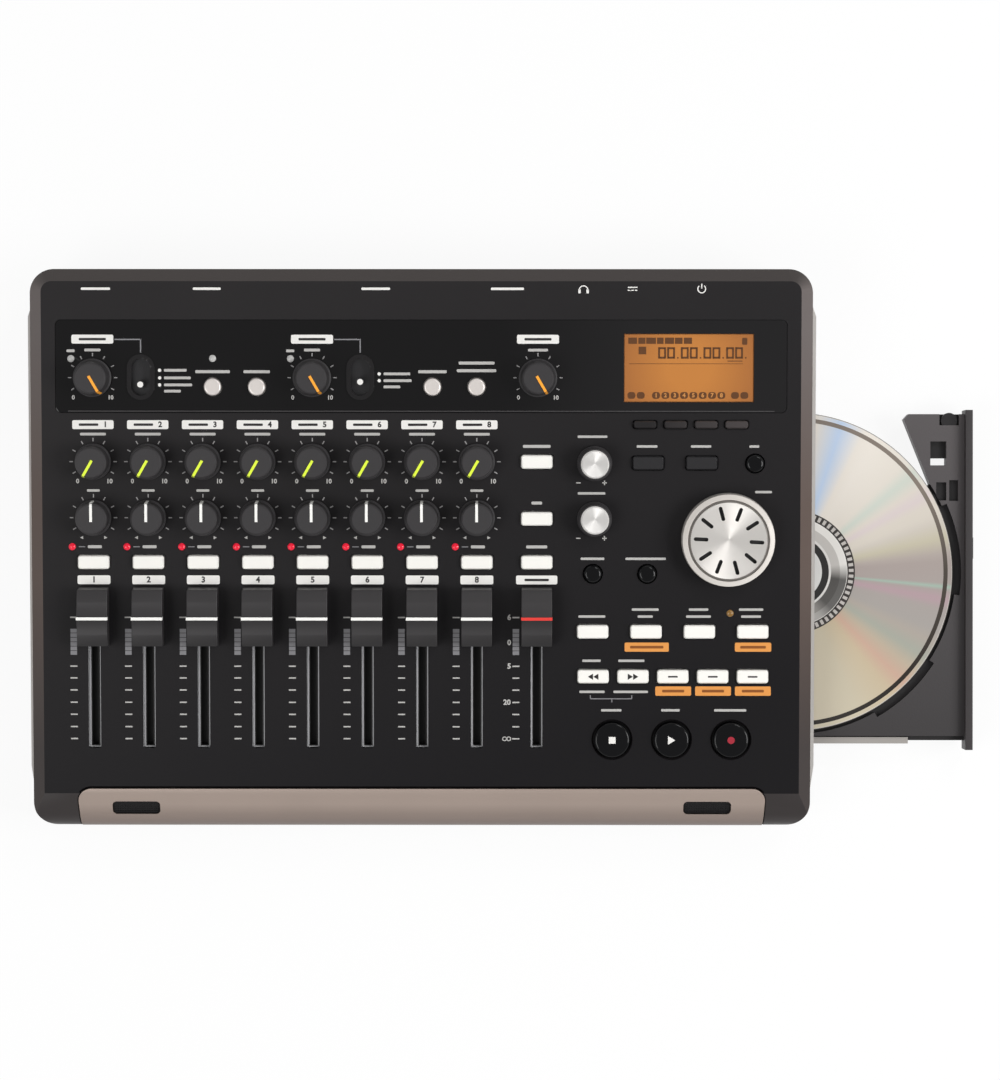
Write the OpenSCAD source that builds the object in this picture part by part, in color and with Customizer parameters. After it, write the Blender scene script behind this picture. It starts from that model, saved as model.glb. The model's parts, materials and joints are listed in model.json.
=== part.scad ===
// Compact eight-track digital recorder with a slim disc drive in its right side.
// Millimetres, +Z up. The origin lies on the desk under the middle of the case,
// +X points right and +Y to the rear. Panel pieces are placed in the panel's own
// frame: u to the right, v up the slope to the rear, w out of the panel.

/* [Case] */
// Width of the upper case
case_w = 290; // [286:1:300]
// Depth of the case
case_d = 207; // [205:1:215]
// Height of the panel over the desk at mid depth
panel_h = 37.5; // [36.5:0.5:42]
// Slope of the panel down to the user, degrees
slope = 4; // [3:0.5:5]
// Wall thickness of both case halves
wall = 2.4; // [2:0.1:2.8]
// Corner radius of the case seen from above
corner_r = 9; // [7.5:0.5:12]
// Width of the bevel round the panel
bevel_w = 4.5; // [3:0.25:5.5]
// Drop of the bevel round the panel
bevel_drop = 4; // [2:0.5:6]
// Height of the upper case from the panel to the parting line
skirt = 13; // [12.5:0.25:14]
// Step of the lower case beyond the upper one at each side
cheek = 2; // [1:0.25:3]
// Height of the rubber feet
foot_h = 2.5; // [2:0.25:3.5]
// Radius of the rubber feet
foot_r = 7; // [5:0.5:9]

/* [Front edge] */
// Depth of the rolled front edge, seen from above
roll_d = 13.1; // [11:0.5:15]
// Radius of the nose at the foot of the roll
nose_r = 8; // [6:0.5:9]
// Fall of the flat part of the roll, degrees
roll_tilt = 22; // [15:1:28]
// Width of the metal front trim
trim_w = 256; // [240:1:262]
// Depth of the front trim, seen from above
trim_d = 14.8; // [12:0.2:16]
// Corner radius of the front trim
trim_r = 4.8; // [2:0.2:6]
// Thickness of the front trim
trim_t = 2; // [1.5:0.25:2.5]
// Length of a microphone grille
mic_l = 17.8; // [12:0.2:22]
// Height of a microphone grille
mic_h = 5; // [3:0.2:6]
// Corner radius of a microphone grille
mic_r = 1.6; // [1:0.1:2.4]
// Middle of a microphone grille from the end of the trim
mic_inset = 21.5; // [14:0.5:30]

/* [Mixer] */
// First track from the left side of the case
track_inset = 23.5; // [22:0.5:25]
// Last track to the master fader
master_gap = 22.2; // [20:0.2:24]
// Master fader to the first column of keys
keys_gap = 20.8; // [19:0.2:22]
// First column of keys from the right side of the case
keys_inset = 81.4; // [80:0.2:83]
// Travel of the faders
fader_travel = 45; // [40:1:46]
// Fader cap width
cap_w = 11.3; // [9:0.1:13]
// Fader cap length
cap_l = 22; // [18:0.5:24]
// Fader cap height
cap_h = 9; // [7:0.5:11]
// Width of the fader slots
slot_w = 4.5; // [3:0.1:5]
// Diameter of the mixer knobs at the foot
knob_d = 13.4; // [11:0.2:14.4]
// Diameter of the mixer knobs at the top
knob_top_d = 11.6; // [9:0.2:12.4]
// Height of the mixer knobs
knob_h = 9; // [7:0.5:11]
// Diameter of the input knobs at the foot
trim_knob_d = 14.2; // [12:0.2:15]
// Row of the reverb knobs
reverb_v = 32.3; // [31:0.1:33]
// Row of the pan knobs
pan_v = 11.5; // [11:0.1:12.5]
// Row of the record keys
rec_v = -5; // [-5.5:0.1:-4.5]
// Row of the fader lines at the top of their travel
fader_v = -25.3; // [-27:0.1:-25]

/* [Keys] */
// Width of the flat keys
key_w = 11.6; // [9:0.1:12]
// Height of the flat keys
key_h = 5; // [4:0.1:5.4]
// Diameter of the transport keys
transport_d = 13.2; // [11:0.1:14]
// Distance between the transport keys
transport_pitch = 22.1; // [20:0.1:23]
// Diameter of the round input keys
round_key_d = 6.4; // [5:0.1:7]
// How far the keys stand out of the panel
key_rise = 1.6; // [1:0.1:2.5]
// Diameter of the data wheel
wheel_d = 34.6; // [30:0.2:36]
// Height of the data wheel
wheel_h = 8; // [6:0.5:10]
// Number of slots in the data wheel's face
wheel_slots = 10; // [6:1:14]
// Rounding of the transport keys' edges
transport_edge = 1; // [0.5:0.1:1.2]
// Rounding of the white round keys' edges
round_edge = 0.8; // [0.3:0.1:1]
// Rounding of the dark round keys' edges
dark_edge = 1.3; // [0.5:0.1:1.5]
// Diameter of the tone knobs
tone_d = 12.9; // [11:0.1:13.4]
// Diameter of the metal cap of the tone knobs
tone_cap_d = 10.4; // [8:0.1:11]

/* [Display] */
// Width of the glossy inset panel
inset_w = 270.4; // [262:0.2:274]
// Depth of the glossy inset panel
inset_d = 34.2; // [33:0.2:36]
// Middle of the inset panel
inset_v = 67.6; // [67:0.1:68.5]
// Thickness of the inset panel
inset_t = 1.2; // [0.8:0.1:1.5]
// Width of the collars round the slide switches
collar_w = 1.6; // [1:0.1:2]
// How far those collars stand out of the inset panel
collar_h = 0.7; // [0.3:0.1:1.2]
// Width of the display glass
lcd_w = 47.8; // [40:0.2:52]
// Height of the display glass
lcd_h = 25; // [20:0.2:26]

/* [Disc drive] */
// Height of the drive
drive_h = 12.7; // [12.5:0.1:13.2]
// Length of the drive beyond the disc's diameter
drive_over = 6; // [4:0.5:10]
// Length of the tray bezel beyond the disc's diameter
bezel_over = 8; // [7:0.5:10]
// Thickness of the tray bezel
bezel_t = 2.8; // [2.4:0.2:4]
// Middle of the drive behind the front of the case
drive_back = 91.8; // [90:0.2:94]
// How far the tray is drawn out
tray_out = 60; // [0:1:70]
// Share of the tray's way that its runner covers
runner_share = 0.6667; // [0.5:0.0001:0.7]
// Diameter of the disc
disc_d = 120; // [120]
// Edge of the disc behind the bezel's face
disc_inset = 7.2; // [6:0.2:9]

/* [Sockets] */
// Height of the sockets over the desk
jack_z = 17.4; // [16.5:0.1:18]
// Depth of the niche that the sockets sit in
niche_d = 8; // [6:0.5:10]
// Bore of the 6.35 mm sockets
jack_bore = 6.5; // [6.4:0.05:6.7]
// Outer diameter of the phono sleeves
phono_d = 8.3; // [8.2:0.05:8.4]

/* [Hidden] */
$fn = 64;
// how much tighter the bevel's corners are than the outline's
bevel_tight = 0.6;
// running clearances
gap = 0.35;
fit = 0.05;
// levels below the panel surface
board_w = 9;
board_t = 1.6;
flange_w = wall + 0.4;
flange_t = 1;
inset_drop = 0.2;
switch_h = 1.6;
// desk levels
under_z = foot_h;
floor_t = 2;
floor_z = under_z + floor_t;
// front roll, in the panel's frame
tilt_s = sin(slope);
tilt_c = cos(slope);
nose_v = (case_d / 2 + 11 * tilt_s) / tilt_c;
roll_v = nose_v - roll_d;
nose_cv = nose_v - nose_r;
nose_cw = -(nose_r + sin(roll_tilt) * (nose_cv - roll_v)) / cos(roll_tilt);
trim_top_v = -nose_v + trim_d;
mic_v = -nose_v + 7.4;
mic_u = trim_w / 2 - mic_inset;
front_t = trim_t + wall + 0.2;
// columns and rows of the panel
tracks = 8;
right_u = case_w / 2 - keys_inset;
master_u = right_u - keys_gap;
track_pitch = (master_u - master_gap + case_w / 2 - track_inset) / (tracks - 1);
track_u = [for (i = [0:tracks - 1]) -case_w / 2 + track_inset + i * track_pitch];
fader_u = concat(track_u, [master_u]);
tone_u = right_u + 0.6;
key_u = [for (i = [0:3]) right_u + 19.8 * i];
row2_u = [for (i = [0:4]) right_u + 0.2 + 14.8 * i];
soft_u = [for (i = [0:3]) right_u + 19.2 + 11.3 * i];
transport_u = [for (i = [0:2]) right_u + 7.3 + transport_pitch * i];
soft_v = 46.1;
home_v = 31.9;
tune_v = -9.3;
row1_v = -30.8;
row2_v = -47.5;
transport_v = -71.2;
wheel_u = right_u + 50;
wheel_v = 3.6;
trim_u = [track_u[0], track_u[4]];
phones_u = master_u + 0.4;
trim_v = 63.4;
switch_u = [for (u = trim_u) u + 17.8];
switch_v = 63.6;
switch_nub_v = [-2.7, -1.7];
switch_l = 13.7;
switch_d = 7;
round_u = [track_u[2] + 3.8, track_u[3] - 0.2, track_u[6] + 3.9, track_u[7] - 0.1];
round_v = 60;
lcd_u = case_w / 2 - 46;
lcd_v = 67;
key_hole = gap;
led_r = 1.3;
track_led = [for (u = track_u) [u - 8, 0.7]];
other_led = [[track_u[0] - 8, 70.4], [trim_u[1] - 8, 70.4], [round_u[0], 70.5], [wheel_u + 1, -24]];
post_u = case_w / 2 - 17.5;
standoff = [[-post_u, 22], [-post_u, 81], [post_u, -60], [post_u, 87], [master_u - master_gap / 2, 22]];
screw_xy = [for (x = [-1, 1], y = [-case_d / 2 + 17.5, case_d / 2 - 19.5]) [x * (case_w / 2 - 11), y]];
// slim drive
drive_l = disc_d + drive_over;
bezel_l = disc_d + bezel_over;
drive_y = -case_d / 2 + drive_back;
drive_x1 = case_w / 2 + cheek - bezel_t - 0.5;
drive_x0 = drive_x1 - drive_l;
sheet = 0.5;
bezel_x = case_w / 2 + cheek + tray_out;
bezel_z = floor_z + 0.4;
bezel_h = drive_h - 0.4;
tray_x1 = bezel_x - bezel_t;
tray_l = drive_l - 3;
tray_y0 = drive_y - bezel_l / 2 + 5.1;
tray_y1 = drive_y + bezel_l / 2 - 1.5;
tray_z0 = floor_z + 1.5;
tray_z1 = floor_z + 8.9;
disc_x = bezel_x - disc_d / 2 - disc_inset;
disc_y = drive_y + 3;
disc_t = 1.2;
disc_z = floor_z + 7.3;
recess_r = disc_d / 2 + 1.2;
recess_z = disc_z - 1;
// wider stretches of the recess, from angle to angle
pocket_r = recess_r + 2;
pocket_a = [[-8, 24], [-60, -33]];
tray_back_y = disc_y + 0.457 * recess_r;
runner_l = drive_l - 4;
runner_x1 = drive_x1 - 0.6 + runner_share * tray_out;
runner_y = tray_y0 - 2.9;
runner_z = floor_z + 3.5;
hub_r = 7.3;
// rear niche
plate_t = 2;
plate_y = case_d / 2 - niche_d;
niche_x0 = -case_w / 2 + 14;
niche_x1 = case_w / 2 - 26;
niche_z0 = under_z + 3.5;
roof_t = 2;
// places of the sockets, as shares of the niche's width
function niche_x(share) = niche_x0 + share * (niche_x1 - niche_x0);
remote_x = niche_x(0.0424);
input_x = [niche_x(0.2068), niche_x(0.4572)];
phono_x = [niche_x(0.624), niche_x(0.68)];
phones_x = niche_x(0.764);
dc_x = niche_x(0.8364);
power_x = niche_x(0.9388);
// main board, between the drive and the rear plate
board_z = floor_z + 1.1;
board_y0 = drive_y + bezel_l / 2 + 3.7;
board_y1 = plate_y - plate_t - wall - 0.5;

TRACK_NODES = [for (k = ["track_fader_", "reverb_knob_", "pan_knob_"], i = [1:8]) str(k, i)];

// outlines

module rrect(w, d, r) {
    square([w - 2 * r, d], center = true);
    square([w, d - 2 * r], center = true);
    for (x = [-1, 1], y = [-1, 1])
        translate([x * (w / 2 - r), y * (d / 2 - r)])
            circle(r);
}

module stadium(l, d) {
    square([l - d, d], center = true);
    for (s = [-1, 1])
        translate([s * (l - d) / 2, 0])
            circle(d / 2);
}

// rounded plate that widens upwards by b over its height h
module frustum(w, d, r, b, h) {
    rotate([90, 0, 0])
        linear_extrude(d - 2 * r, center = true)
            polygon([[-w / 2 + b, 0], [w / 2 - b, 0], [w / 2, h], [-w / 2, h]]);
    rotate([90, 0, 90])
        linear_extrude(w - 2 * r, center = true)
            polygon([[-d / 2 + b, 0], [d / 2 - b, 0], [d / 2, h], [-d / 2, h]]);
    for (x = [-1, 1], y = [-1, 1])
        translate([x * (w / 2 - r), y * (d / 2 - r), 0])
            cylinder(h = h, r1 = r - b, r2 = r);
}

// places its children in the panel's frame
module on_panel(u = 0, v = 0, w = 0) {
    translate([0, 0, panel_h])
        rotate([slope, 0, 0])
            translate([u, v, w])
                children();
}

module under_plane(depth) {
    on_panel(0, 0, -depth - 100)
        cube([500, 400, 200], center = true);
}

// side view of the front roll, t inside the outer skin and top below the panel
module roll_profile(t, top) {
    n = [-sin(roll_tilt), cos(roll_tilt)];
    c = [-nose_cv, nose_cw];
    r = nose_r - t;
    polygon([
        [200, -top],
        [-roll_v + (t - top * cos(roll_tilt)) / sin(roll_tilt), -top],
        c + r * n,
        [c[0] - r, c[1]],
        [c[0] - r, -80],
        [200, -80]]);
    translate(c)
        circle(r);
}

module roll_form(t, top) {
    on_panel()
        rotate([90, 0, 90])
            linear_extrude(case_w + 40, center = true)
                roll_profile(t, top);
}

// bevelled crown of the upper case, t inside the outer skin
module crown(t) {
    a = atan(bevel_drop / bevel_w);
    s = bevel_w + t * tan(a / 2);
    g = bevel_w + 3;
    dz = g * tan(a);
    rt = max(0.5, corner_r - s - bevel_tight);
    w = case_w - 2 * s + 2 * g;
    v1 = case_d / 2 - s + g;
    v0 = -case_d / 2 - 40;
    on_panel(0, (v0 + v1) / 2, -t)
        mirror([0, 0, 1]) {
            frustum(w, v1 - v0, rt + g, g, dz);
            translate([0, 0, dz + 39.5])
                cube([w, v1 - v0, 80], center = true);
        }
}

module upper_form(t, front) {
    intersection() {
        linear_extrude(90)
            rrect(case_w - 2 * t, case_d - 2 * t, corner_r - t);
        crown(t);
        roll_form(front, t);
    }
}

// openings in the panel

module key_cut(w, d, r) {
    translate([0, 0, -15])
        linear_extrude(20)
            rrect(w + 2 * key_hole, d + 2 * key_hole, r + key_hole);
}

module round_cut(r) {
    translate([0, 0, -15])
        cylinder(h = 20, r = r);
}

shaft_r = 3;
bush_r = 4;
bush_hole = bush_r + 0.2;
flat_keys = concat(
    [for (u = track_u) [u, rec_v]],
    [[master_u, reverb_v], [master_u, pan_v - 0.3], [master_u, rec_v]],
    [for (u = key_u) [u, row1_v]],
    [for (u = row2_u) [u, row2_v]],
    [[right_u + 20.4, home_v], [right_u + 40.2, home_v]]);
dark_round = [[right_u + 60, home_v - 0.2], [right_u, tune_v], [right_u + 20.2, tune_v]];
dark_round_d = 6.8;
soft_w = 8.5;
soft_h = 2.8;
pots = concat(
    [for (u = track_u) [u, reverb_v]], [for (u = track_u) [u, pan_v]],
    [[tone_u, home_v - 0.2], [tone_u, pan_v - 0.4]],
    [for (u = trim_u) [u, trim_v]], [[phones_u, trim_v]],
    [[wheel_u, wheel_v]]);

module panel_cuts() {
    on_panel() {
        for (p = pots)
            translate(p)
                round_cut(bush_hole);
        for (p = flat_keys)
            translate(p)
                key_cut(key_w, key_h, 1);
        for (p = dark_round)
            translate(p)
                round_cut(dark_round_d / 2 + key_hole);
        for (u = soft_u)
            translate([u, soft_v])
                key_cut(soft_w, soft_h, 0.8);
        for (u = round_u)
            translate([u, round_v])
                round_cut(round_key_d / 2 + key_hole);
        for (u = transport_u)
            translate([u, transport_v]) {
                round_cut(transport_d / 2 + key_hole);
                translate([0, 0, -0.8])
                    cylinder(h = 1.2, r1 = transport_d / 2 + key_hole, r2 = transport_d / 2 + 1.4);
            }
        for (u = fader_u)
            translate([u, fader_v - fader_travel / 2, -15])
                linear_extrude(20)
                    rotate(90)
                        rrect(fader_travel + 8.4, slot_w, 1);
        for (p = concat(track_led, other_led))
            translate(p)
                round_cut(led_r + 0.1);
        for (i = [0, 1])
            translate([switch_u[i], switch_v])
                translate([0, 0, -15])
                    linear_extrude(20)
                        rotate(90)
                            stadium(switch_l, switch_d);
    }
}

module inset_outline(grow) {
    rrect(inset_w + 2 * grow, inset_d + 2 * grow, 2 + grow);
}

module lcd_window(grow) {
    on_panel(lcd_u, lcd_v, -15)
        linear_extrude(20)
            square([lcd_w + 2 * grow, lcd_h + 2 * grow], center = true);
}

module trim_outline(grow) {
    h = trim_w / 2 + grow;
    v = trim_top_v + grow;
    r = trim_r + grow;
    polygon([[-h + 1, -nose_v - 6], [h - 1, -nose_v - 6], [h, v - r], [-h, v - r]]);
    translate([0, v - r / 2])
        square([2 * h - 2 * r, r], center = true);
    for (s = [-1, 1])
        translate([s * (h - r), v - r])
            circle(r);
}

module mic_outline(grow) {
    for (s = [-1, 1])
        translate([s * mic_u, mic_v])
            rrect(mic_l + 2 * grow, mic_h + 2 * grow, mic_r + grow);
}

// slot in the right side for the tray
module drive_slot() {
    translate([case_w / 2 - wall - 2, drive_y - bezel_l / 2 - 0.6, floor_z])
        cube([wall + cheek + 6, bezel_l + 1.2, drive_h + 0.5]);
}

// case pieces

module top_case() {
    color("#2b2a2b")
        difference() {
            union() {
                difference() {
                    upper_form(0, 0);
                    upper_form(wall, front_t);
                    under_plane(skirt);
                }
                intersection() {
                    union()
                        for (p = screw_xy)
                            translate([p[0], p[1], 0])
                                cylinder(h = 80, r = 4);
                    upper_form(wall / 2, wall / 2);
                    on_panel(0, 0, -skirt + 50)
                        cube([400, 300, 100], center = true);
                }
                for (p = standoff)
                    on_panel(p[0], p[1], -board_w)
                        cylinder(h = board_w - wall / 2, r = 2.2);
            }
            for (p = screw_xy)
                translate([p[0], p[1], 0])
                    cylinder(h = panel_h + p[1] * tan(slope) - wall - 2, r = 1.6);
            panel_cuts();
            on_panel(0, inset_v, -inset_t - inset_drop)
                linear_extrude(10)
                    inset_outline(0.15);
            lcd_window(0.3);
            intersection() {
                on_panel(0, 0, -40)
                    linear_extrude(60)
                        trim_outline(0.4);
                difference() {
                    roll_form(-5, -5);
                    roll_form(trim_t + 0.2, trim_t + 0.2);
                }
            }
            on_panel(0, 0, -40)
                linear_extrude(60)
                    mic_outline(-0.8);
            drive_slot();
        }
}

module lower_tub() {
    difference() {
        union() {
            translate([0, 0, under_z])
                frustum(case_w, case_d, corner_r, 2.5, 3);
            translate([0, 0, under_z + 3])
                linear_extrude(50)
                    rrect(case_w, case_d, corner_r);
        }
        translate([0, 0, floor_z])
            linear_extrude(60)
                rrect(case_w - 2 * wall, case_d - 2 * wall, corner_r - wall);
        under_plane_cut();
    }
}

module under_plane_cut() {
    on_panel(0, 0, -skirt + 50)
        cube([500, 400, 100], center = true);
}

// stepped side of the lower case, tapered at both ends
module side_cheek() {
    x = case_w / 2;
    intersection() {
        translate([0, 0, under_z])
            linear_extrude(60)
                polygon([
                    [x - wall, case_d / 2 - 11], [x, case_d / 2 - 11],
                    [x + cheek, case_d / 2 - 17], [x + cheek, -case_d / 2 + 22],
                    [x, -case_d / 2 + 8], [x - wall, -case_d / 2 + 8]]);
        rotate([90, 0, 0])
            linear_extrude(case_d, center = true)
                polygon([
                    [x - wall / 2, under_z + 3], [x, under_z + 3],
                    [x + cheek, under_z + 11], [x + cheek, 60], [x - wall / 2, 60]]);
        under_plane(skirt + 0.6);
    }
}

module bottom_case() {
    color("#232224")
        difference() {
            union() {
                lower_tub();
                side_cheek();
                mirror([1, 0, 0])
                    side_cheek();
                // body of the rear niche
                difference() {
                    translate([niche_x0 - wall, plate_y - plate_t - wall, under_z + 0.5])
                        cube([niche_x1 - niche_x0 + 2 * wall, niche_d + plate_t + wall / 2, 60]);
                    under_plane_cut();
                }
                difference() {
                    for (p = screw_xy)
                        translate([p[0], p[1], under_z + 0.5])
                            cylinder(h = 60, r = 4);
                    under_plane_cut();
                }
                // board posts
                for (x = [niche_x0 + 8, niche_x1 - 8], y = [board_y0 + 4, board_y1 - 4.6])
                    translate([x, y, floor_z - 1])
                        cylinder(h = board_z - floor_z + 1, r = 2.5);
            }
            // niche with the plate's seat, and the window behind the plate
            difference() {
                union() {
                    translate([niche_x0, plate_y - plate_t, niche_z0])
                        cube([niche_x1 - niche_x0, niche_d + plate_t + 5, 60]);
                    translate([niche_x0 + 2, plate_y - plate_t - 10, niche_z0 + 1])
                        cube([niche_x1 - niche_x0 - 4, 20, 60]);
                }
                on_panel(0, 0, -skirt - roof_t + 50)
                    cube([500, 400, 100], center = true);
            }
            for (p = screw_xy) {
                translate([p[0], p[1], 0])
                    cylinder(h = 60, r = 1.7);
                translate([p[0], p[1], 0])
                    cylinder(h = panel_h + p[1] * tan(slope) - skirt - 4, r = 3.2);
            }
            for (x = [-1, 1], y = [-1, 1])
                translate([x * (case_w / 2 - 25), y * (case_d / 2 - 21), 0])
                    cylinder(h = under_z + 0.8, r = foot_r + 0.1);
            drive_slot();
        }
}

module front_trim() {
    color("#9a928d")
        difference() {
            intersection() {
                on_panel(0, 0, -skirt + 0.6)
                    linear_extrude(30)
                        trim_outline(0);
                difference() {
                    roll_form(-0.2, -0.2);
                    roll_form(trim_t, trim_t);
                }
            }
            on_panel(0, 0, -40)
                linear_extrude(60)
                    mic_outline(0);
        }
}

module mic_grilles() {
    color("#1a1a1c") {
        intersection() {
            on_panel(0, 0, -40)
                linear_extrude(60)
                    mic_outline(-0.15);
            difference() {
                roll_form(0.6, 0.6);
                roll_form(1.6, 1.6);
            }
        }
        // microphone capsules behind the grilles
        intersection() {
            for (s = [-1, 1])
                on_panel(s * mic_u, mic_v, -20)
                    cylinder(h = 20, r = min(mic_h / 2 - 1, 3));
            difference() {
                roll_form(trim_t + 0.2, trim_t + 0.2);
                roll_form(min(front_t + 3, nose_r - 0.5), front_t + 3);
            }
        }
    }
}

module inset_panel() {
    color("#1b1a1c")
        difference() {
            union() {
                on_panel(0, inset_v, -inset_t - inset_drop)
                    linear_extrude(inset_t)
                        inset_outline(0);
                for (u = switch_u)
                    on_panel(u, switch_v, -inset_t - inset_drop)
                        linear_extrude(inset_t + collar_h)
                            rotate(90)
                                stadium(switch_l + 2 * collar_w, switch_d + 2 * collar_w);
            }
            panel_cuts();
            lcd_window(0.15);
        }
}

module lcd_module() {
    color("#e39a4a") {
        on_panel(lcd_u, lcd_v, -wall - 0.4)
            linear_extrude(wall - 0.2)
                square([lcd_w - 0.2, lcd_h - 0.2], center = true);
        on_panel(lcd_u, lcd_v, -wall - 3.6)
            linear_extrude(3.3)
                rrect(lcd_w + 6, lcd_h + 6, 1);
    }
}

module rubber_feet() {
    color("#161616")
        for (x = [-1, 1], y = [-1, 1])
            translate([x * (case_w / 2 - 25), y * (case_d / 2 - 21), 0]) {
                cylinder(h = 0.6, r1 = foot_r - 0.6, r2 = foot_r);
                translate([0, 0, 0.6])
                    cylinder(h = foot_h + 0.2, r = foot_r);
            }
}

module case_screws() {
    color("#8a8a8c")
        for (p = screw_xy)
            translate([p[0], p[1], panel_h + p[1] * tan(slope) - skirt - 4]) {
                difference() {
                    translate([0, 0, -2])
                        cylinder(h = 2, r = 2.8);
                    translate([0, 0, -2.1])
                        cylinder(h = 1.2, r = 1.1, $fn = 6);
                }
                cylinder(h = 11, r = 1.5);
            }
}

// electronics

module pot_body(b) {
    difference() {
        union() {
            translate([-b / 2, -b / 2, -board_w + 0.1])
                cube([b, b, board_w - wall - 1.7]);
            translate([0, 0, -wall - 1.7])
                cylinder(h = wall + 1.3, r = bush_r);
        }
        translate([0, 0, -board_w - 1])
            cylinder(h = 20, r = shaft_r + 0.25);
    }
}

module fader_body() {
    l = fader_travel + 15;
    translate([0, 0, -board_w + 0.1])
        difference() {
            translate([-4.3, -l / 2, 0])
                cube([8.6, l, board_w - wall - 0.7]);
            translate([-1.2, -fader_travel / 2 - 3.2, 1.2])
                cube([2.4, fader_travel + 6.4, 12]);
            translate([-3.3, -fader_travel / 2 - 3.2, 1.2])
                cube([6.6, fader_travel + 6.4, 3]);
        }
}

module tact_switch() {
    translate([-3, -3, -board_w + 0.1])
        cube([6, 6, switch_h]);
}

module led() {
    translate([0, 0, -board_w + 0.1])
        cylinder(h = board_w - 0.2, r = led_r);
    intersection() {
        translate([0, 0, -1.4])
            sphere(r = 1.9);
        translate([0, 0, -0.3])
            cylinder(h = 2, r = led_r);
    }
}

module control_board() {
    color("#1f5a3a")
        on_panel() {
            translate([0, 1, -board_w - board_t])
                linear_extrude(board_t)
                    rrect(case_w - 31, case_d - 33, 3);
            for (p = pots)
                translate(p)
                    pot_body(9.6);
            for (u = fader_u)
                translate([u, fader_v - fader_travel / 2])
                    fader_body();
            for (p = concat(flat_keys, dark_round))
                translate(p)
                    tact_switch();
            for (u = soft_u)
                translate([u, soft_v])
                    tact_switch();
            for (u = round_u)
                translate([u, round_v])
                    tact_switch();
            for (u = transport_u)
                translate([u, transport_v])
                    tact_switch();
            for (p = concat(track_led, other_led))
                translate(p)
                    led();
        }
}

module main_board() {
    color("#1f5a3a") {
        translate([niche_x0 + 4, board_y0, board_z])
            cube([niche_x1 - niche_x0 - 8, board_y1 - board_y0, board_t]);
        // signal processor, memory and supply
        for (c = [[remote_x + 9.4, 14, 14, 2], [input_x[0] + 17.3, 20, 10, 1.6],
                  [input_x[1] - 23.3, 8, 10, 2], [dc_x + 7.9, 12, 10, 6]])
            translate([c[0], board_y0 + 2, board_z + board_t + 0.1])
                cube([c[1], c[2], c[3]]);
        for (d = [19.7, 29.7])
            translate([input_x[1] + d, board_y0 + 8, board_z + board_t + 0.1])
                cylinder(h = 11, r = 4);
        // power switch body
        translate([power_x - 5, plate_y - 14, board_z + board_t + 0.1])
            cube([10, 9.2, jack_z + 3 - board_z - board_t]);
    }
}

// rear sockets

module at_jack(x) {
    translate([x, plate_y, jack_z])
        rotate([-90, 0, 0])
            children();
}

combo_r = 11;
module rear_panel() {
    color("#29282a")
        difference() {
            intersection() {
                translate([niche_x0 + 0.15, plate_y - plate_t, niche_z0 + 0.15])
                    cube([niche_x1 - niche_x0 - 0.3, plate_t, 60]);
                under_plane(skirt + roof_t + 0.2);
            }
            for (x = input_x)
                at_jack(x)
                    translate([0, 0, -5])
                        cylinder(h = 10, r = combo_r + 0.15);
            for (x = phono_x)
                at_jack(x)
                    translate([0, 0, -5])
                        cylinder(h = 10, r = phono_d / 2 + 0.9);
            at_jack(phones_x)
                translate([0, 0, -5])
                    cylinder(h = 10, r = 4.75);
            at_jack(remote_x)
                translate([0, 0, -5])
                    cylinder(h = 10, r = 3.15);
            at_jack(dc_x)
                translate([0, 0, -5])
                    cylinder(h = 10, r = 4.15);
            at_jack(power_x)
                translate([-4, -2.6, -5])
                    cube([8, 5.2, 10]);
        }
}

// body of a socket on the board, behind the plate
module jack_body(w, up, l) {
    down = jack_z - board_z - board_t - 0.1;
    translate([-w / 2, -up, -plate_t - 0.15 - l])
        cube([w, up + down, l]);
}

module combo_jack() {
    difference() {
        union() {
            jack_body(26, 9.5, 24);
            translate([0, 0, -plate_t - 1])
                cylinder(h = plate_t + 1.6, r = combo_r);
        }
        // ring groove for a microphone plug's shell, round the plug bore
        difference() {
            translate([0, 0, -13])
                cylinder(h = 20, r = 9.7);
            translate([0, 0, -14])
                cylinder(h = 13.6, r = 8.2);
        }
        translate([0, 0, -24])
            cylinder(h = 40, r = jack_bore / 2);
        for (a = [30, 150, 270])
            rotate(a)
                translate([5.7, 0, -9])
                    cylinder(h = 20, r = 1);
    }
}

module phones_jack() {
    difference() {
        union() {
            jack_body(13, 8, 20);
            translate([0, 0, -plate_t - 1])
                cylinder(h = plate_t + 4, r = 4.6);
            translate([0, 0, 0.05])
                cylinder(h = 1.8, r = 6.8, $fn = 6);
        }
        translate([0, 0, -18])
            cylinder(h = 40, r = jack_bore / 2);
    }
}

module phono_jack() {
    difference() {
        union() {
            jack_body(12, 7, 10);
            translate([0, 0, -plate_t - 1])
                cylinder(h = plate_t + 1.6, r = phono_d / 2 + 0.7);
            cylinder(h = niche_d - 0.3, r = phono_d / 2);
        }
        translate([0, 0, -6])
            cylinder(h = 30, r = 1.65);
        difference() {
            translate([0, 0, niche_d - 3])
                cylinder(h = 6, r = phono_d / 2 - 0.6);
            cylinder(h = niche_d - 1, r = 2.7);
        }
    }
}

module dc_jack() {
    difference() {
        union() {
            jack_body(10, 6, 13);
            translate([0, 0, -plate_t - 1])
                cylinder(h = plate_t + 1.2, r = 4);
        }
        difference() {
            translate([0, 0, -10])
                cylinder(h = 20, r = 2.9);
            translate([0, 0, -11])
                cylinder(h = 10, r = 1.05);
        }
    }
}

module remote_jack() {
    difference() {
        union() {
            jack_body(8, 5, 12);
            translate([0, 0, -plate_t - 1])
                cylinder(h = plate_t + 1.6, r = 3);
        }
        translate([0, 0, -11])
            cylinder(h = 20, r = 1.3);
    }
}

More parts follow.
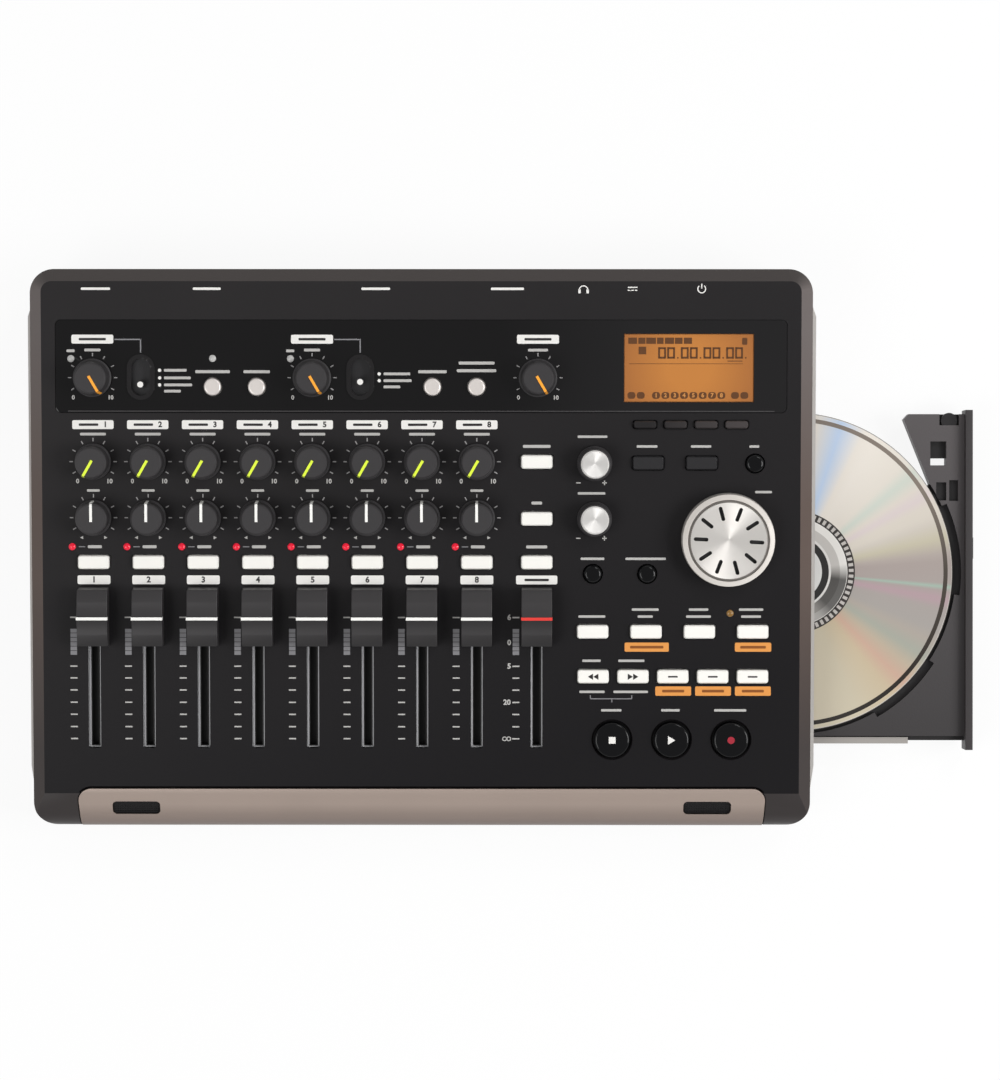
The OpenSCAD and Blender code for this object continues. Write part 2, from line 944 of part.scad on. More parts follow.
module rear_jacks() {
    color("#3a393b") {
        for (x = input_x)
            at_jack(x)
                combo_jack();
        for (x = phono_x)
            at_jack(x)
                phono_jack();
        at_jack(phones_x)
            phones_jack();
        at_jack(dc_x)
            dc_jack();
        at_jack(remote_x)
            remote_jack();
    }
}

module power_button() {
    color("#3a393b")
        at_jack(power_x) {
            translate([-3.6, -2.2, -plate_t - 1])
                cube([7.2, 4.4, plate_t + 2.6]);
            translate([-5.5, -3.6, -plate_t - 1.4])
                cube([11, 7.2, 1]);
        }
}

// disc drive

module drive_chassis() {
    y0 = drive_y - bezel_l / 2;
    w = bezel_l;
    color("#b9bbbd") {
        difference() {
            translate([drive_x0, y0, floor_z])
                cube([drive_l, w, drive_h]);
            translate([drive_x0 + sheet, y0 + sheet, floor_z + sheet])
                cube([drive_l, w - 2 * sheet, drive_h - 2 * sheet]);
            // stiffening window in the cover
            translate([drive_x0 + 20, y0 + 20, floor_z + drive_h - 2])
                cube([60, 50, 5]);
        }
        // guide for the runner
        for (z = [runner_z - 0.8, runner_z + 4.3])
            translate([drive_x0 + sheet, y0 + sheet, z])
                cube([drive_l - sheet, runner_y + 1.6 - y0 - sheet, 0.5]);
    }
}

module tray_runner() {
    color("#c9cbcd")
        translate([runner_x1 - runner_l, runner_y, runner_z])
            difference() {
                cube([runner_l, 2.4, 4]);
                translate([-1, 0.8, 0.8])
                    cube([runner_l + 2, 5, 2.4]);
            }
}

module tray_outline() {
    x0 = tray_x1 - tray_l;
    polygon([
        [tray_x1, tray_y0], [tray_x1, tray_y1],
        [tray_x1 - 21, tray_y1], [tray_x1 - 22.8, tray_y1 - 2],
        [disc_x + 0.84 * recess_r, disc_y + 0.54 * recess_r],
        [disc_x + 0.75 * recess_r, tray_back_y], [x0, tray_back_y], [x0, tray_y0]]);
}

module sector(r, from, to, h) {
    intersection() {
        cylinder(h = h, r = r);
        linear_extrude(h)
            polygon([[0, 0], 2 * r * [cos(from), sin(from)], 2 * r * [cos(to), sin(to)]]);
    }
}

latch_hole = 2.7;
latch_ledge = 3;
stop_r = 3;
stop_deep = 3;
stop_over = 0.5;

module disc_tray() {
    x0 = tray_x1 - tray_l;
    color("#4b484a") {
        difference() {
            union() {
                translate([0, 0, tray_z0])
                    linear_extrude(tray_z1 - tray_z0)
                        tray_outline();
                // tongue that rides in the runner
                translate([x0, runner_y + 1.2, runner_z + 1.2])
                    cube([tray_l, tray_y0 - runner_y - 1, 1.6]);
            }
            // disc recess, hub well and the hollow underside
            translate([disc_x, disc_y, recess_z])
                cylinder(h = 20, r = recess_r);
            translate([disc_x, disc_y, 0])
                cylinder(h = 40, r = 15);
            translate([x0 + 4, tray_y0 + 4, tray_z0 - 1])
                cube([tray_l - 30, tray_back_y - tray_y0 - 8, recess_z - tray_z0 - 0.6]);
            // pick-up window
            translate([disc_x, disc_y, 0])
                rotate(-50)
                    translate([13, -9, 0])
                        cube([36, 18, 40]);
            for (a = pocket_a)
                translate([disc_x, disc_y, recess_z])
                    sector(pocket_r, a[0], a[1], 20);
            // latch hole with its ledge, two pockets and the stop's notch
            translate([tray_x1 - 12.8, disc_y + 40.2, 0])
                cube([6, latch_hole, 40]);
            translate([tray_x1 - 12.8, disc_y + 40.2, tray_z1 - latch_ledge])
                cube([6, 9, 10]);
            translate([tray_x1 - 10.6, disc_y + 27, tray_z1 - 2])
                cube([3.8, 6.8, 10]);
            translate([tray_x1 - 5.7, disc_y + 26.8, tray_z1 - 2])
                cube([3.4, 7.8, 10]);
            translate([tray_x1 - 9.4, tray_y1 - 4.2, tray_z1 - stop_deep])
                cube([7.4, 10, 10]);
        }
        // round stop in its notch
        translate([tray_x1 - 5.7, tray_y1 + stop_over - stop_r, tray_z1 - stop_deep - 1])
            cylinder(h = stop_deep + 0.6, r = stop_r);
        // spindle motor and pick-up
        difference() {
            translate([disc_x, disc_y, tray_z0 + 0.3])
                cylinder(h = recess_z - tray_z0 - 1, r = 14.4);
            translate([disc_x, disc_y, 0])
                cylinder(h = 40, r = 1.7);
        }
        translate([disc_x, disc_y, tray_z0 + 0.4])
            rotate(-50)
                translate([15.2, -8.5, 0])
                    cube([20, 17, recess_z - tray_z0 - 0.6]);
    }
}

module tray_bezel() {
    color("#454244")
        difference() {
            translate([bezel_x - bezel_t, drive_y - bezel_l / 2, bezel_z])
                cube([bezel_t, bezel_l, bezel_h]);
            translate([bezel_x - bezel_t - 1, disc_y + 9 - 4.4, bezel_z + 3.2])
                cube([10, 8.8, 3.8]);
        }
}

module eject_button() {
    color("#2e2c2e") {
        translate([bezel_x - bezel_t + 1.6, disc_y + 9 - 4, bezel_z + 3.6])
            cube([bezel_t - 0.8, 8, 3]);
    }
}

module spindle_hub() {
    color("#c7c8ca")
        translate([disc_x, disc_y, 0]) {
            translate([0, 0, recess_z - 0.2])
                cylinder(h = disc_z - recess_z + 0.2, r = 13.5);
            translate([0, 0, disc_z])
                cylinder(h = 1.6, r = hub_r);
            translate([0, 0, disc_z + 1.6])
                cylinder(h = 0.8, r1 = hub_r, r2 = hub_r - 1.4);
            translate([0, 0, recess_z - 3])
                cylinder(h = 3.2, r = 1.5);
        }
}

module disc() {
    color("#d6d7da")
        translate([disc_x, disc_y, disc_z])
            difference() {
                cylinder(h = disc_t, r = disc_d / 2);
                translate([0, 0, -1])
                    cylinder(h = 5, r = 7.5);
            }
}

// faders, knobs and switches

// cap with two hollowed flanks and a raised line across its middle
module fader_cap() {
    h = cap_h;
    l = cap_l / 2;
    foot = 0.9;
    dip = h * 0.62;
    difference() {
        translate([0, 0, foot])
            rotate([90, 0, 90])
                linear_extrude(cap_w, center = true)
                    difference() {
                        polygon([
                            [-l, 0], [l, 0], [l - 0.5, dip], [l - 1.6, dip + 0.9],
                            [0.9, h], [-0.9, h], [-l + 1.6, dip + 0.9], [-l + 0.5, dip]]);
                        for (s = [-1, 1])
                            translate([s * (l * 0.5 + 0.6), dip + 0.8 + 15.2])
                                circle(r = 14.2, $fn = 96);
                    }
        translate([-cap_w / 2 + 1.4, -l + 2, foot - 1])
            cube([cap_w - 2.8, 2 * l - 4, h - 3.6]);
    }
}

module fader(u) {
    color("#4a494a")
        on_panel(u, fader_v, 0) {
            fader_cap();
            translate([-0.7, -1.8, -board_w + 3.4])
                cube([1.4, 3.6, board_w - 3.4 + 0.9 + cap_h - 4.75]);
        }
}

// pointer: width, rise, and how far it starts past the middle of the knob
pointer_w = 1;
pointer_rise = 0.25;
pointer_over = 1;

module knob_profile(d, top, h, grow) {
    r0 = d / 2 + grow;
    r1 = top / 2 + grow;
    polygon([
        [0, 0], [r0, 0], [r0, 1.2], [r0 - 0.5, 1.6],
        [r1, h - 0.6 + grow], [r1 - 0.6, h + grow], [0, h + grow]]);
}

// knob on a round shaft, with a raised pointer at angle a from the rear
module knob(d, top, h, a) {
    base = 0.7;
    rotate(a) {
        translate([0, 0, base])
            difference() {
                union() {
                    rotate_extrude()
                        knob_profile(d, top, h, 0);
                    intersection() {
                        rotate_extrude()
                            knob_profile(d, top, h, pointer_rise);
                        translate([-pointer_w / 2, -pointer_over, 1.8])
                            cube([pointer_w, d, h]);
                    }
                }
                translate([0, 0, -1])
                    cylinder(h = h - 1.6, r = shaft_r + fit);
                rotate_extrude()
                    translate([shaft_r + 1.2, -1])
                        square([d / 2 - shaft_r - 2.4, h / 2]);
            }
        translate([0, 0, -board_w + 1.4])
            cylinder(h = board_w - 1.4 + h - 2.1, r = shaft_r);
    }
}

module mixer_knob(p, a) {
    color("#3e3c3e")
        on_panel(p[0], p[1], 0)
            knob(knob_d, knob_top_d, knob_h, a);
}

module input_knob(u) {
    color("#3e3c3e")
        on_panel(u, trim_v, 0)
            knob(trim_knob_d, knob_top_d, knob_h, -150);
}

module tone_knob(p) {
    h = 8;
    color("#303032")
        on_panel(p[0], p[1], 0) {
            translate([0, 0, 0.7])
                difference() {
                    rotate_extrude()
                        polygon([
                            [0, 0], [tone_d / 2, 0], [tone_d / 2, 1.6], [tone_d / 2 - 0.5, 2.2],
                            [tone_cap_d / 2 + 0.5, h - 1.2], [tone_cap_d / 2 + 0.1, h - 1], [0, h - 1]]);
                    translate([0, 0, -1])
                        cylinder(h = h - 1.6, r = shaft_r + fit);
                }
            // spun metal cap
            translate([0, 0, 0.75 + h - 1])
                rotate_extrude()
                    polygon([
                        [0, 0], [tone_cap_d / 2, 0], [tone_cap_d / 2, 0.6],
                        [tone_cap_d / 2 - 0.5, 1.1], [0, 0.8]]);
            translate([0, 0, -board_w + 1.4])
                cylinder(h = board_w - 1.4 + h - 2.1, r = shaft_r);
        }
}

module data_wheel() {
    r = wheel_d / 2;
    h = wheel_h;
    color("#b8b6b4")
        on_panel(wheel_u, wheel_v, 0) {
            translate([0, 0, 0.8])
                difference() {
                    rotate_extrude()
                        polygon([
                            [0, 0], [r, 0], [r, h * 0.5], [r - 0.3, h - 1.4], [r - 1.9, h - 0.4],
                            [r - 2.2, h - 0.4], [r - 2.5, h - 0.9], [r - 2.9, h - 0.9],
                            [r - 3.2, h], [r - 4.2, h], [0, h - 0.5]]);
                    for (i = [0:wheel_slots - 1])
                        rotate(i * 360 / wheel_slots - 3)
                            translate([r - 9.7, 0, h - 1.4])
                                linear_extrude(5)
                                    translate([2.7, 0])
                                        stadium(5.4, 1.4);
                    translate([0, 0, -1])
                        cylinder(h = h - 2, r = shaft_r + fit);
                    rotate_extrude()
                        translate([shaft_r + 2, -1])
                            square([r - shaft_r - 4.2, h / 2]);
                }
            translate([0, 0, -board_w + 1.4])
                cylinder(h = board_w - 1.4 + h - 2.1, r = shaft_r);
        }
}

// slide switch: white nub on a shutter below the panel
module slide_switch(i) {
    color("#ecebe8")
        on_panel(switch_u[i], switch_v + switch_nub_v[i], 0) {
            translate([0, 0, -wall - 0.4])
                cylinder(h = wall + 2.2, r = 1.45);
            translate([0, 0, -wall - 1.3])
                linear_extrude(1)
                    rotate(90)
                        rrect(24, 9, 1);
        }
}

// keys

module flat_key(w, d) {
    translate([0, 0, -flange_w - flange_t / 2])
        linear_extrude(flange_w + flange_t / 2 + key_rise - 0.5)
            rrect(w, d, 1);
    translate([0, 0, -flange_w - flange_t])
        linear_extrude(flange_t)
            rrect(w + 2, d + 1.6, 1);
    plunger();
    translate([0, 0, key_rise - 0.5])
        mirror([0, 0, 1])
            translate([0, 0, -0.5])
                frustum(w, d, 1, 0.4, 0.5);
}

// round key with a rounded edge, on its flange
module round_key(d, rise, edge, flange) {
    low = -flange_w - flange_t / 2;
    rotate_extrude() {
        translate([0, low])
            square([d / 2 - edge, rise - low]);
        translate([0, low])
            square([d / 2, rise - edge - low]);
        translate([d / 2 - edge, rise - edge])
            circle(edge);
    }
    translate([0, 0, -flange_w - flange_t])
        cylinder(h = flange_t, r = d / 2 + flange);
    plunger();
}

// stem over the switch on the board
module plunger() {
    translate([0, 0, -board_w + switch_h + 1.1])
        cylinder(h = board_w - switch_h - 1.1 - flange_w, r = 1.5);
}

module track_keys() {
    color("#f2f0ea")
        on_panel()
            for (i = [0:10])
                translate(flat_keys[i])
                    flat_key(key_w, key_h);
}

module locate_keys() {
    color("#f2f0ea")
        on_panel()
            for (i = [11:19])
                translate(flat_keys[i])
                    flat_key(key_w, key_h);
}

module input_keys() {
    color("#dedcd6")
        on_panel()
            for (u = round_u)
                translate([u, round_v])
                    round_key(round_key_d, key_rise, round_edge, 1);
}

module menu_keys() {
    color("#3a393b")
        on_panel() {
            for (u = soft_u)
                translate([u, soft_v])
                    flat_key(soft_w, soft_h);
            for (i = [20, 21])
                translate(flat_keys[i])
                    flat_key(key_w, key_h);
            for (p = dark_round)
                translate(p)
                    round_key(dark_round_d, key_rise, dark_edge, 1);
        }
}

module transport_key(i) {
    color("#202022")
        on_panel(transport_u[i], transport_v, 0)
            round_key(transport_d, key_rise + 0.4, transport_edge, 1.6);
}

bottom_case();
top_case();
front_trim();
mic_grilles();
inset_panel();
lcd_module();
control_board();
main_board();
rear_panel();
rear_jacks();
drive_chassis();
rubber_feet();
case_screws();
disc_tray();
tray_bezel();
tray_runner();
spindle_hub();
disc();
eject_button();
fader(master_u);  // master_fader
data_wheel();
tone_knob(pots[16]);  // eq_high_knob
tone_knob(pots[17]);  // eq_low_knob
input_knob(trim_u[0]);  // trim_a_knob
input_knob(trim_u[1]);  // trim_b_knob
input_knob(phones_u);  // phones_level_knob
slide_switch(0);  // input_a_switch
slide_switch(1);  // input_b_switch
power_button();
transport_key(0);  // stop_key
transport_key(1);  // play_key
transport_key(2);  // record_key
track_keys();
locate_keys();
input_keys();
menu_keys();
for (i = [0:7]) {
    fader(track_u[i]);
    mixer_knob(pots[i], 150);
    mixer_knob(pots[8 + i], 0);
}
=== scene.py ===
# %% [markdown]
# # A desktop multitrack recorder
#
# The machine is a sloped plastic case full of small controls, with a slim disc
# tray drawn out of its right side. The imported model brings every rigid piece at
# its real size and place. This lesson adds what a solid model can't hold: the
# finish of each surface, the ink on the panel, the glow of the display and the
# rings and colours of the disc.

# %% Load the frame
import bmesh
import bpy
import json
import math
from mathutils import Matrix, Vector


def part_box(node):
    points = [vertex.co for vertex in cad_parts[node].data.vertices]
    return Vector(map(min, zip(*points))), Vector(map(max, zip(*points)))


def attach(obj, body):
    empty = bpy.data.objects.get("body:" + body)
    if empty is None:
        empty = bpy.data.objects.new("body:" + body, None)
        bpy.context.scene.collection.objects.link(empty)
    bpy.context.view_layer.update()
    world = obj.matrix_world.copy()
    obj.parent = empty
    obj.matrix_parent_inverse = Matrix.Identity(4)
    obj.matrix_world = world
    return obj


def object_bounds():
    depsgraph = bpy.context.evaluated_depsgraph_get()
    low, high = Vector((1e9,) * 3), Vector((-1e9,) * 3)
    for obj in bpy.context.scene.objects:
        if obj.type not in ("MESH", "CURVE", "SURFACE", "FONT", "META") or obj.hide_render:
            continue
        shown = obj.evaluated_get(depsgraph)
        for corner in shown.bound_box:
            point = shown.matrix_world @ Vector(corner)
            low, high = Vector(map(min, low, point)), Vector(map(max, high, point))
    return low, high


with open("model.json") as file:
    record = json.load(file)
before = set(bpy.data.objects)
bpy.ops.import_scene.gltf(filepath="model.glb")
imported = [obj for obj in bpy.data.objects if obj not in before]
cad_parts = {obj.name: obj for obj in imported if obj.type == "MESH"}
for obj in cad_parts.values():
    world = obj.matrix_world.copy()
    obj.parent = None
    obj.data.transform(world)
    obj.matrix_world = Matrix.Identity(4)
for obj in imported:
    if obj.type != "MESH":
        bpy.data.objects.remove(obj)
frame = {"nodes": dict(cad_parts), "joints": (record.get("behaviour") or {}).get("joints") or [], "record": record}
nodes = frame["nodes"]
joints = {joint["name"]: joint for joint in frame["joints"]}
cad_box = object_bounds()
MM = 0.001
print("nodes:", len(nodes), "joints:", len(joints))

# %% [markdown]
# ## The panel's own frame
#
# Nearly everything sits on a panel that slopes by a few degrees. Measuring from
# the desk would put a sine and a cosine in every line, so pieces are placed in
# the panel's frame instead: u to the right, v up the slope, w out of the panel,
# all in millimetres. The joints already know these directions: a fader slides
# along v and a knob turns about w.

# %% Panel frame
along = Vector(joints["track_fader_1_slide"]["axis"])
outward = Vector(joints["reverb_knob_1_turn"]["axis"])
right = along.cross(outward)
knob_seat = Vector(joints["reverb_knob_1_turn"]["pos_m"])
panel_origin = knob_seat - along * (knob_seat.y / along.y)
panel_origin.x = 0.0


def on_panel(u, v, w=0.0):
    """A point of the panel's frame, in metres in the row frame."""
    return panel_origin + (right * u + along * v + outward * w) * MM


def in_panel(point):
    """Panel coordinates u, v, w in millimetres of a point in the row frame."""
    step = (Vector(point) - panel_origin) / MM
    return step.dot(right), step.dot(along), step.dot(outward)


def seat(joint):
    """Where a knob's axis meets the panel."""
    u, v, _ = in_panel(joints[joint]["pos_m"])
    return u, v


def middle(node):
    """Middle of a node's box, in the panel's frame."""
    low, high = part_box(node)
    return in_panel((Vector(low) + Vector(high)) / 2)


def span(node):
    """Least and greatest panel coordinates of a node's own vertices."""
    places = [in_panel(vertex.co) for vertex in nodes[node].data.vertices]
    return [(min(p[k] for p in places), max(p[k] for p in places)) for k in range(3)]


track_u = [seat(f"reverb_knob_{i}_turn")[0] for i in range(1, 9)]
reverb_v = seat("reverb_knob_1_turn")[1]
pan_v = seat("pan_knob_1_turn")[1]
master_u = middle("master_fader")[0]
tone_u, high_v = seat("eq_high_knob_turn")
low_v = seat("eq_low_knob_turn")[1]
wheel_u, wheel_v = seat("data_wheel_turn")
input_knobs = [seat(name + "_turn") for name in ("trim_a_knob", "trim_b_knob", "phones_level_knob")]
print("tracks at", [round(u, 1) for u in track_u], "master at", round(master_u, 1))

# %% [markdown]
# ## Colours and nodes
#
# Colours are written as sRGB hex values, as a paint chart gives them, and one
# function turns them into the linear numbers that the renderer adds up. A second
# function adds a node: what is a socket gets linked, anything else is a setting.
# A few short functions on top of it say the steps that every finish repeats.

# %% Colour and node helpers
def linear(code):
    """Linear RGBA of an sRGB hex colour."""
    parts = [int(code[i:i + 2], 16) / 255 for i in (1, 3, 5)]
    return [p / 12.92 if p <= 0.04045 else ((p + 0.055) / 1.055) ** 2.4 for p in parts] + [1.0]


def dimmed(code, share=0.9):
    """A linear colour a little darker than its hex value."""
    return [c * share for c in linear(code)[:3]] + [1.0]


def add(tree, kind, props=None, **inputs):
    """Adds a node. An underscore and a number name an input by its place."""
    node = tree.nodes.new("ShaderNode" + kind)
    for name, value in (props or {}).items():
        setattr(node, name, value)
    for name, value in inputs.items():
        socket = node.inputs[int(name[1:])] if name[0] == "_" else node.inputs[name.replace("_", " ")]
        if isinstance(value, bpy.types.NodeSocket):
            tree.links.new(value, socket)
        else:
            socket.default_value = value
    return node


def calc(tree, operation, *terms):
    """One step of arithmetic on sockets and numbers."""
    inputs = {f"_{k}": term for k, term in enumerate(terms)}
    return add(tree, "Math", {"operation": operation}, **inputs).outputs[0]


def vector(tree, operation, *terms):
    """One step on vectors. A subtraction gives a vector, the others give a number."""
    inputs = {f"_{k}": term for k, term in enumerate(terms)}
    node = add(tree, "VectorMath", {"operation": operation}, **inputs)
    return node.outputs[0] if operation == "SUBTRACT" else node.outputs["Value"]


def mix(tree, share, first, second):
    """A tone between two tones, each a hex value, a linear colour or a socket."""
    tones = [linear(tone) if isinstance(tone, str) else tone for tone in (first, second)]
    return add(tree, "Mix", {"data_type": "RGBA"}, _0=share, _6=tones[0], _7=tones[1]).outputs[2]


def noise(tree, place, size_mm, detail):
    """Noise whose features have a size in millimetres."""
    return add(tree, "TexNoise", Vector=place, Scale=1 / (size_mm * MM), Detail=detail).outputs["Fac"]


def relief(tree, height, strength, depth_mm):
    """A bumped normal, with the bump's depth in millimetres."""
    return add(tree, "Bump", Height=height, Strength=strength, Distance=depth_mm * MM).outputs[0]


def round_tangent(tree):
    """The direction round the upright axis, in which a lathe cuts."""
    return add(tree, "Tangent", {"direction_type": "RADIAL", "axis": "Z"}).outputs[0]


def new_material(name):
    """A material, its empty node tree and the socket of the place on the object."""
    material = bpy.data.materials.new(name)
    material.use_nodes = True
    tree = material.node_tree
    tree.nodes.clear()
    return material, tree, add(tree, "TexCoord").outputs["Object"]


def close_tree(tree, **inputs):
    """Adds the surface's shader and links it to the output."""
    shader = add(tree, "BsdfPrincipled", **inputs)
    add(tree, "OutputMaterial", _0=shader.outputs[0])


# %% [markdown]
# ## Moulded plastics
#
# Case, knobs, keys and tray are injection-moulded ABS. The mould is sparked, so
# the surface is a carpet of tiny bumps: a wide soft sheen on the case, a tighter
# one on the keys. One function makes them all, from the grain's size in
# millimetres. The case's real grain of about 0.1 mm would be finer than a pixel,
# so it is drawn at about 0.5 mm. The black case gives back little light of its
# own, and most of what the eye sees is sheen, so its specular level is low.
#
# A second colour can come in along a line from one point to another, or as the
# surface turns towards an axis. This paints light and shade into the colour: the
# panel gets a painted sheen that makes it a shade paler at its rear left, the rim
# gets painted shade towards the front and where it looks backwards, and the fader
# caps get painted shade where they look to the front. The tray is darker towards
# the front.

# %% Moulded plastic
ABS_IOR = 1.53
DRIFT_MM, GRAIN_DEPTH_MM = 40, 0.05
TRAY_PALE_Y = 0.05


def by_place(start, end):
    """A share that grows from nought at one point to one at another."""
    way = Vector(end) - Vector(start)

    def share(tree):
        offset = vector(tree, "SUBTRACT", add(tree, "TexCoord").outputs["Object"], start)
        return vector(tree, "DOT_PRODUCT", offset, way / way.length_squared)
    return share


def by_look(axis, low, high):
    """A share that grows as a face turns towards an axis."""
    def share(tree):
        look = vector(tree, "DOT_PRODUCT", add(tree, "TexCoord").outputs["Normal"], axis)
        return add(tree, "MapRange", Value=look, _1=low, _2=high).outputs[0]
    return share


def blended(tree, tone, fades):
    """A tone that goes over into further colours, each by its own share."""
    for colour, share in fades:
        tone = mix(tree, share(tree), tone, colour)
    return tone


def moulded_plastic(name, colour, worn, roughness, grain_mm, bump, specular=0.5, fades=()):
    """Sparked ABS whose colour drifts a little between two tones."""
    material, tree, place = new_material(name)
    grain = noise(tree, place, grain_mm, 2.0)
    tone = mix(tree, noise(tree, place, DRIFT_MM, 3.0), colour, worn)
    rough = add(tree, "MapRange", Value=grain, _3=roughness - 0.06, _4=roughness + 0.06)
    close_tree(tree, Base_Color=blended(tree, tone, fades), Roughness=rough.outputs[0], IOR=ABS_IOR,
               Normal=relief(tree, grain, bump, GRAIN_DEPTH_MM), Specular_IOR_Level=specular)
    return material


# Painted sheen: the panel's colour is paler at its rear left and darker towards its front right.
case_black = moulded_plastic("sparked_black_abs", "#201E1F", "#242223", 0.50, 0.5, 0.35, 0.16,
                             [("#0D0B0E", by_place(on_panel(-30, 95), on_panel(27, -86)))])
# Painted shade: the rim darkens towards the front and on the faces that look backwards.
rim_taupe = moulded_plastic("sparked_taupe_abs", "#5A5250", "#5F5755", 0.46, 0.5, 0.35, 0.4,
                            [("#50413A", by_place(on_panel(0, 80), on_panel(0, 15))),
                             ("#281E1B", by_place(on_panel(0, -10), on_panel(0, -75))),
                             ("#352F2D", by_look(along, 0.1, 0.6))])
tub_grey = moulded_plastic("sparked_grey_abs", "#2E2C2C", "#343131", 0.52, 0.6, 0.4, 0.3)
cheek_silver = moulded_plastic("silver_painted_abs", "#BDB9B5", "#C6C2BE", 0.40, 0.5, 0.15)
socket_black = moulded_plastic("socket_nylon", "#17171A", "#1C1C1F", 0.42, 0.6, 0.2, 0.4)
knob_black = moulded_plastic("knob_soft_touch_abs", "#2B292B", "#323031", 0.55, 0.5, 0.3, 0.35)
# Painted shade: the cap darkens on the faces that look to the front.
cap_grey = moulded_plastic("fader_cap_abs", "#2C2A2B", "#333132", 0.45, 0.5, 0.3, 0.4,
                           [("#1C1A1B", by_look(-along, 0.05, 0.5))])
white_abs = moulded_plastic("key_white_abs", "#F1EFE9", "#F4F2EC", 0.34, 0.5, 0.08)
guide_nylon = moulded_plastic("guide_nylon", "#A6A6A8", "#B0B0B2", 0.40, 0.5, 0.1)
# Painted light: a lighter copy of the black case plastic for the rolled front edge.
front_roll_painted_light = moulded_plastic("sparked_front_abs_painted_light", "#2E2A2A", "#342F2E", 0.46, 0.5, 0.35, 0.3)
collar_black = moulded_plastic("collar_satin_abs", "#161516", "#1C1A1B", 0.22, 0.5, 0.05, 0.3)
# Painted shade for the shadow in the tray's hollows.
tray_well_shade = moulded_plastic("tray_well_painted_shade", "#1B191A", "#211F20", 0.45, 0.6, 0.4, 0.3)
dark_abs = moulded_plastic("key_dark_abs", "#1E1D1F", "#232224", 0.24, 0.5, 0.06, 0.5)
tray_low, tray_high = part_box("disc_tray")
tray_grey = moulded_plastic("tray_grey_abs", "#4A4647", "#534E4F", 0.50, 0.6, 0.5, 0.4,
                            [("#2E2B2C", by_place((0, TRAY_PALE_Y, 0), (0, tray_low[1], 0)))])
bezel_grey = moulded_plastic("bezel_grey_abs", "#2F2C2D", "#373334", 0.48, 0.6, 0.4, 0.35)
foot_black = moulded_plastic("foot_rubber", "#121212", "#1A1A1A", 0.85, 0.8, 0.6, 0.3)
print("moulded plastics ready")

# %% [markdown]
# ## Gloss, glass and lamps
#
# The inset panel, the transport keys and the socket plate are polished where the
# case is sparked. Gloss needs no grain, only a trace of waviness, because no
# moulding is perfectly flat. Lamps are dyed clear plastic and glow a little. The
# inset panel and the soft keys also get painted light, brightening towards the
# right, and the pointers and the red fader line a faint painted glow, though they
# are no lamps.

# %% Gloss plastics and lamps
ACRYLIC_IOR, WAVE_MM = 1.49, 18


def polished_plastic(name, colour, roughness, specular, glow=0.0, fades=()):
    """Clear or black moulding with a polished face."""
    material, tree, place = new_material(name)
    wave = noise(tree, place, WAVE_MM, 1.0)
    close_tree(tree, Base_Color=blended(tree, linear(colour), fades), Roughness=roughness, IOR=ACRYLIC_IOR,
               Normal=relief(tree, wave, 0.05, 0.2), Specular_IOR_Level=specular,
               Emission_Color=linear(colour), Emission_Strength=glow)
    return material


# Painted reflection: the inset panel's colour brightens towards the right.
inset_gloss = polished_plastic("polished_black_acrylic", "#0D0C0D", 0.10, 0.32,
                               fades=[("#1B1A1B", by_place(on_panel(30, 67), on_panel(80, 67)))])
# Painted highlight: the soft keys brighten towards the right-hand end of the row.
soft_key_gloss = polished_plastic("polished_soft_key", "#201E1F", 0.16, 0.40,
                                  fades=[("#423D3D", by_place(on_panel(84, 46), on_panel(117, 46)))])
key_gloss = polished_plastic("polished_black_key", "#070709", 0.10, 0.26)
lamp_red = polished_plastic("red_lamp", "#DE1C36", 0.15, 0.5, 0.25)
lamp_amber = polished_plastic("amber_lamp", "#86632F", 0.15, 0.5, 0.0)
lamp_clear = polished_plastic("clear_lamp", "#B9B8B6", 0.20, 0.5)
# Painted glow: the orange and lime pointers and the red fader line glow faintly, though they are no lamps.
pointer_orange = polished_plastic("orange_pointer", "#EFA033", 0.35, 0.4, 0.12)
pointer_lime = polished_plastic("lime_pointer", "#D6EA3E", 0.35, 0.4, 0.12)
pointer_white = polished_plastic("white_pointer", "#F4F3EF", 0.35, 0.4)
line_red = polished_plastic("red_line", "#DD3A33", 0.35, 0.4, 0.05)
print("gloss plastics and lamps ready")

# %% [markdown]
# The display is a glass sheet over an amber backlight. The light spreads from
# the middle, so it is a shade brighter there than along the sides.

# %% Display glass
GLOW_MM = (8, 27)


def amber_display():
    """Backlit display glass, brighter towards its middle."""
    material, tree, place = new_material("amber_backlit_glass")
    centre = on_panel(*middle("lcd_module")[:2])
    spread = vector(tree, "LENGTH", vector(tree, "SUBTRACT", place, centre))
    fade = add(tree, "MapRange", Value=spread, _1=GLOW_MM[0] * MM, _2=GLOW_MM[1] * MM)
    tone = mix(tree, fade.outputs[0], "#B3753B", "#976035")
    close_tree(tree, Base_Color=tone, Roughness=0.12, Specular_IOR_Level=0.2,
               Emission_Color=tone, Emission_Strength=0.16)
    return material


display_amber = amber_display()
print("display glass:", display_amber.name)

# %% [markdown]
# ## Metals
#
# The front trim is bead-blasted, anodised aluminium: an even, silky champagne
# grey, with painted shade that deepens it where the edge rolls forward. The
# blasted grain of about 0.1 mm is drawn at 0.5 mm, so that it shows. The data
# wheel and the caps of the tone knobs are spun on a lathe. The lathe leaves rings,
# and rings spread a reflection along the radius, which makes the bright fans that
# turn with the light. The shader's anisotropy does that, a small turn sets the
# fans' angle, and fine rings in the bump keep the face alive.

# %% Metals
BLAST_MM, CLOUD_MM, RING_MM, SMEAR_MM = 0.5, 30, 0.3, 9
FAN_TURN = 0.07
TRIM_SHADE_MM = 9


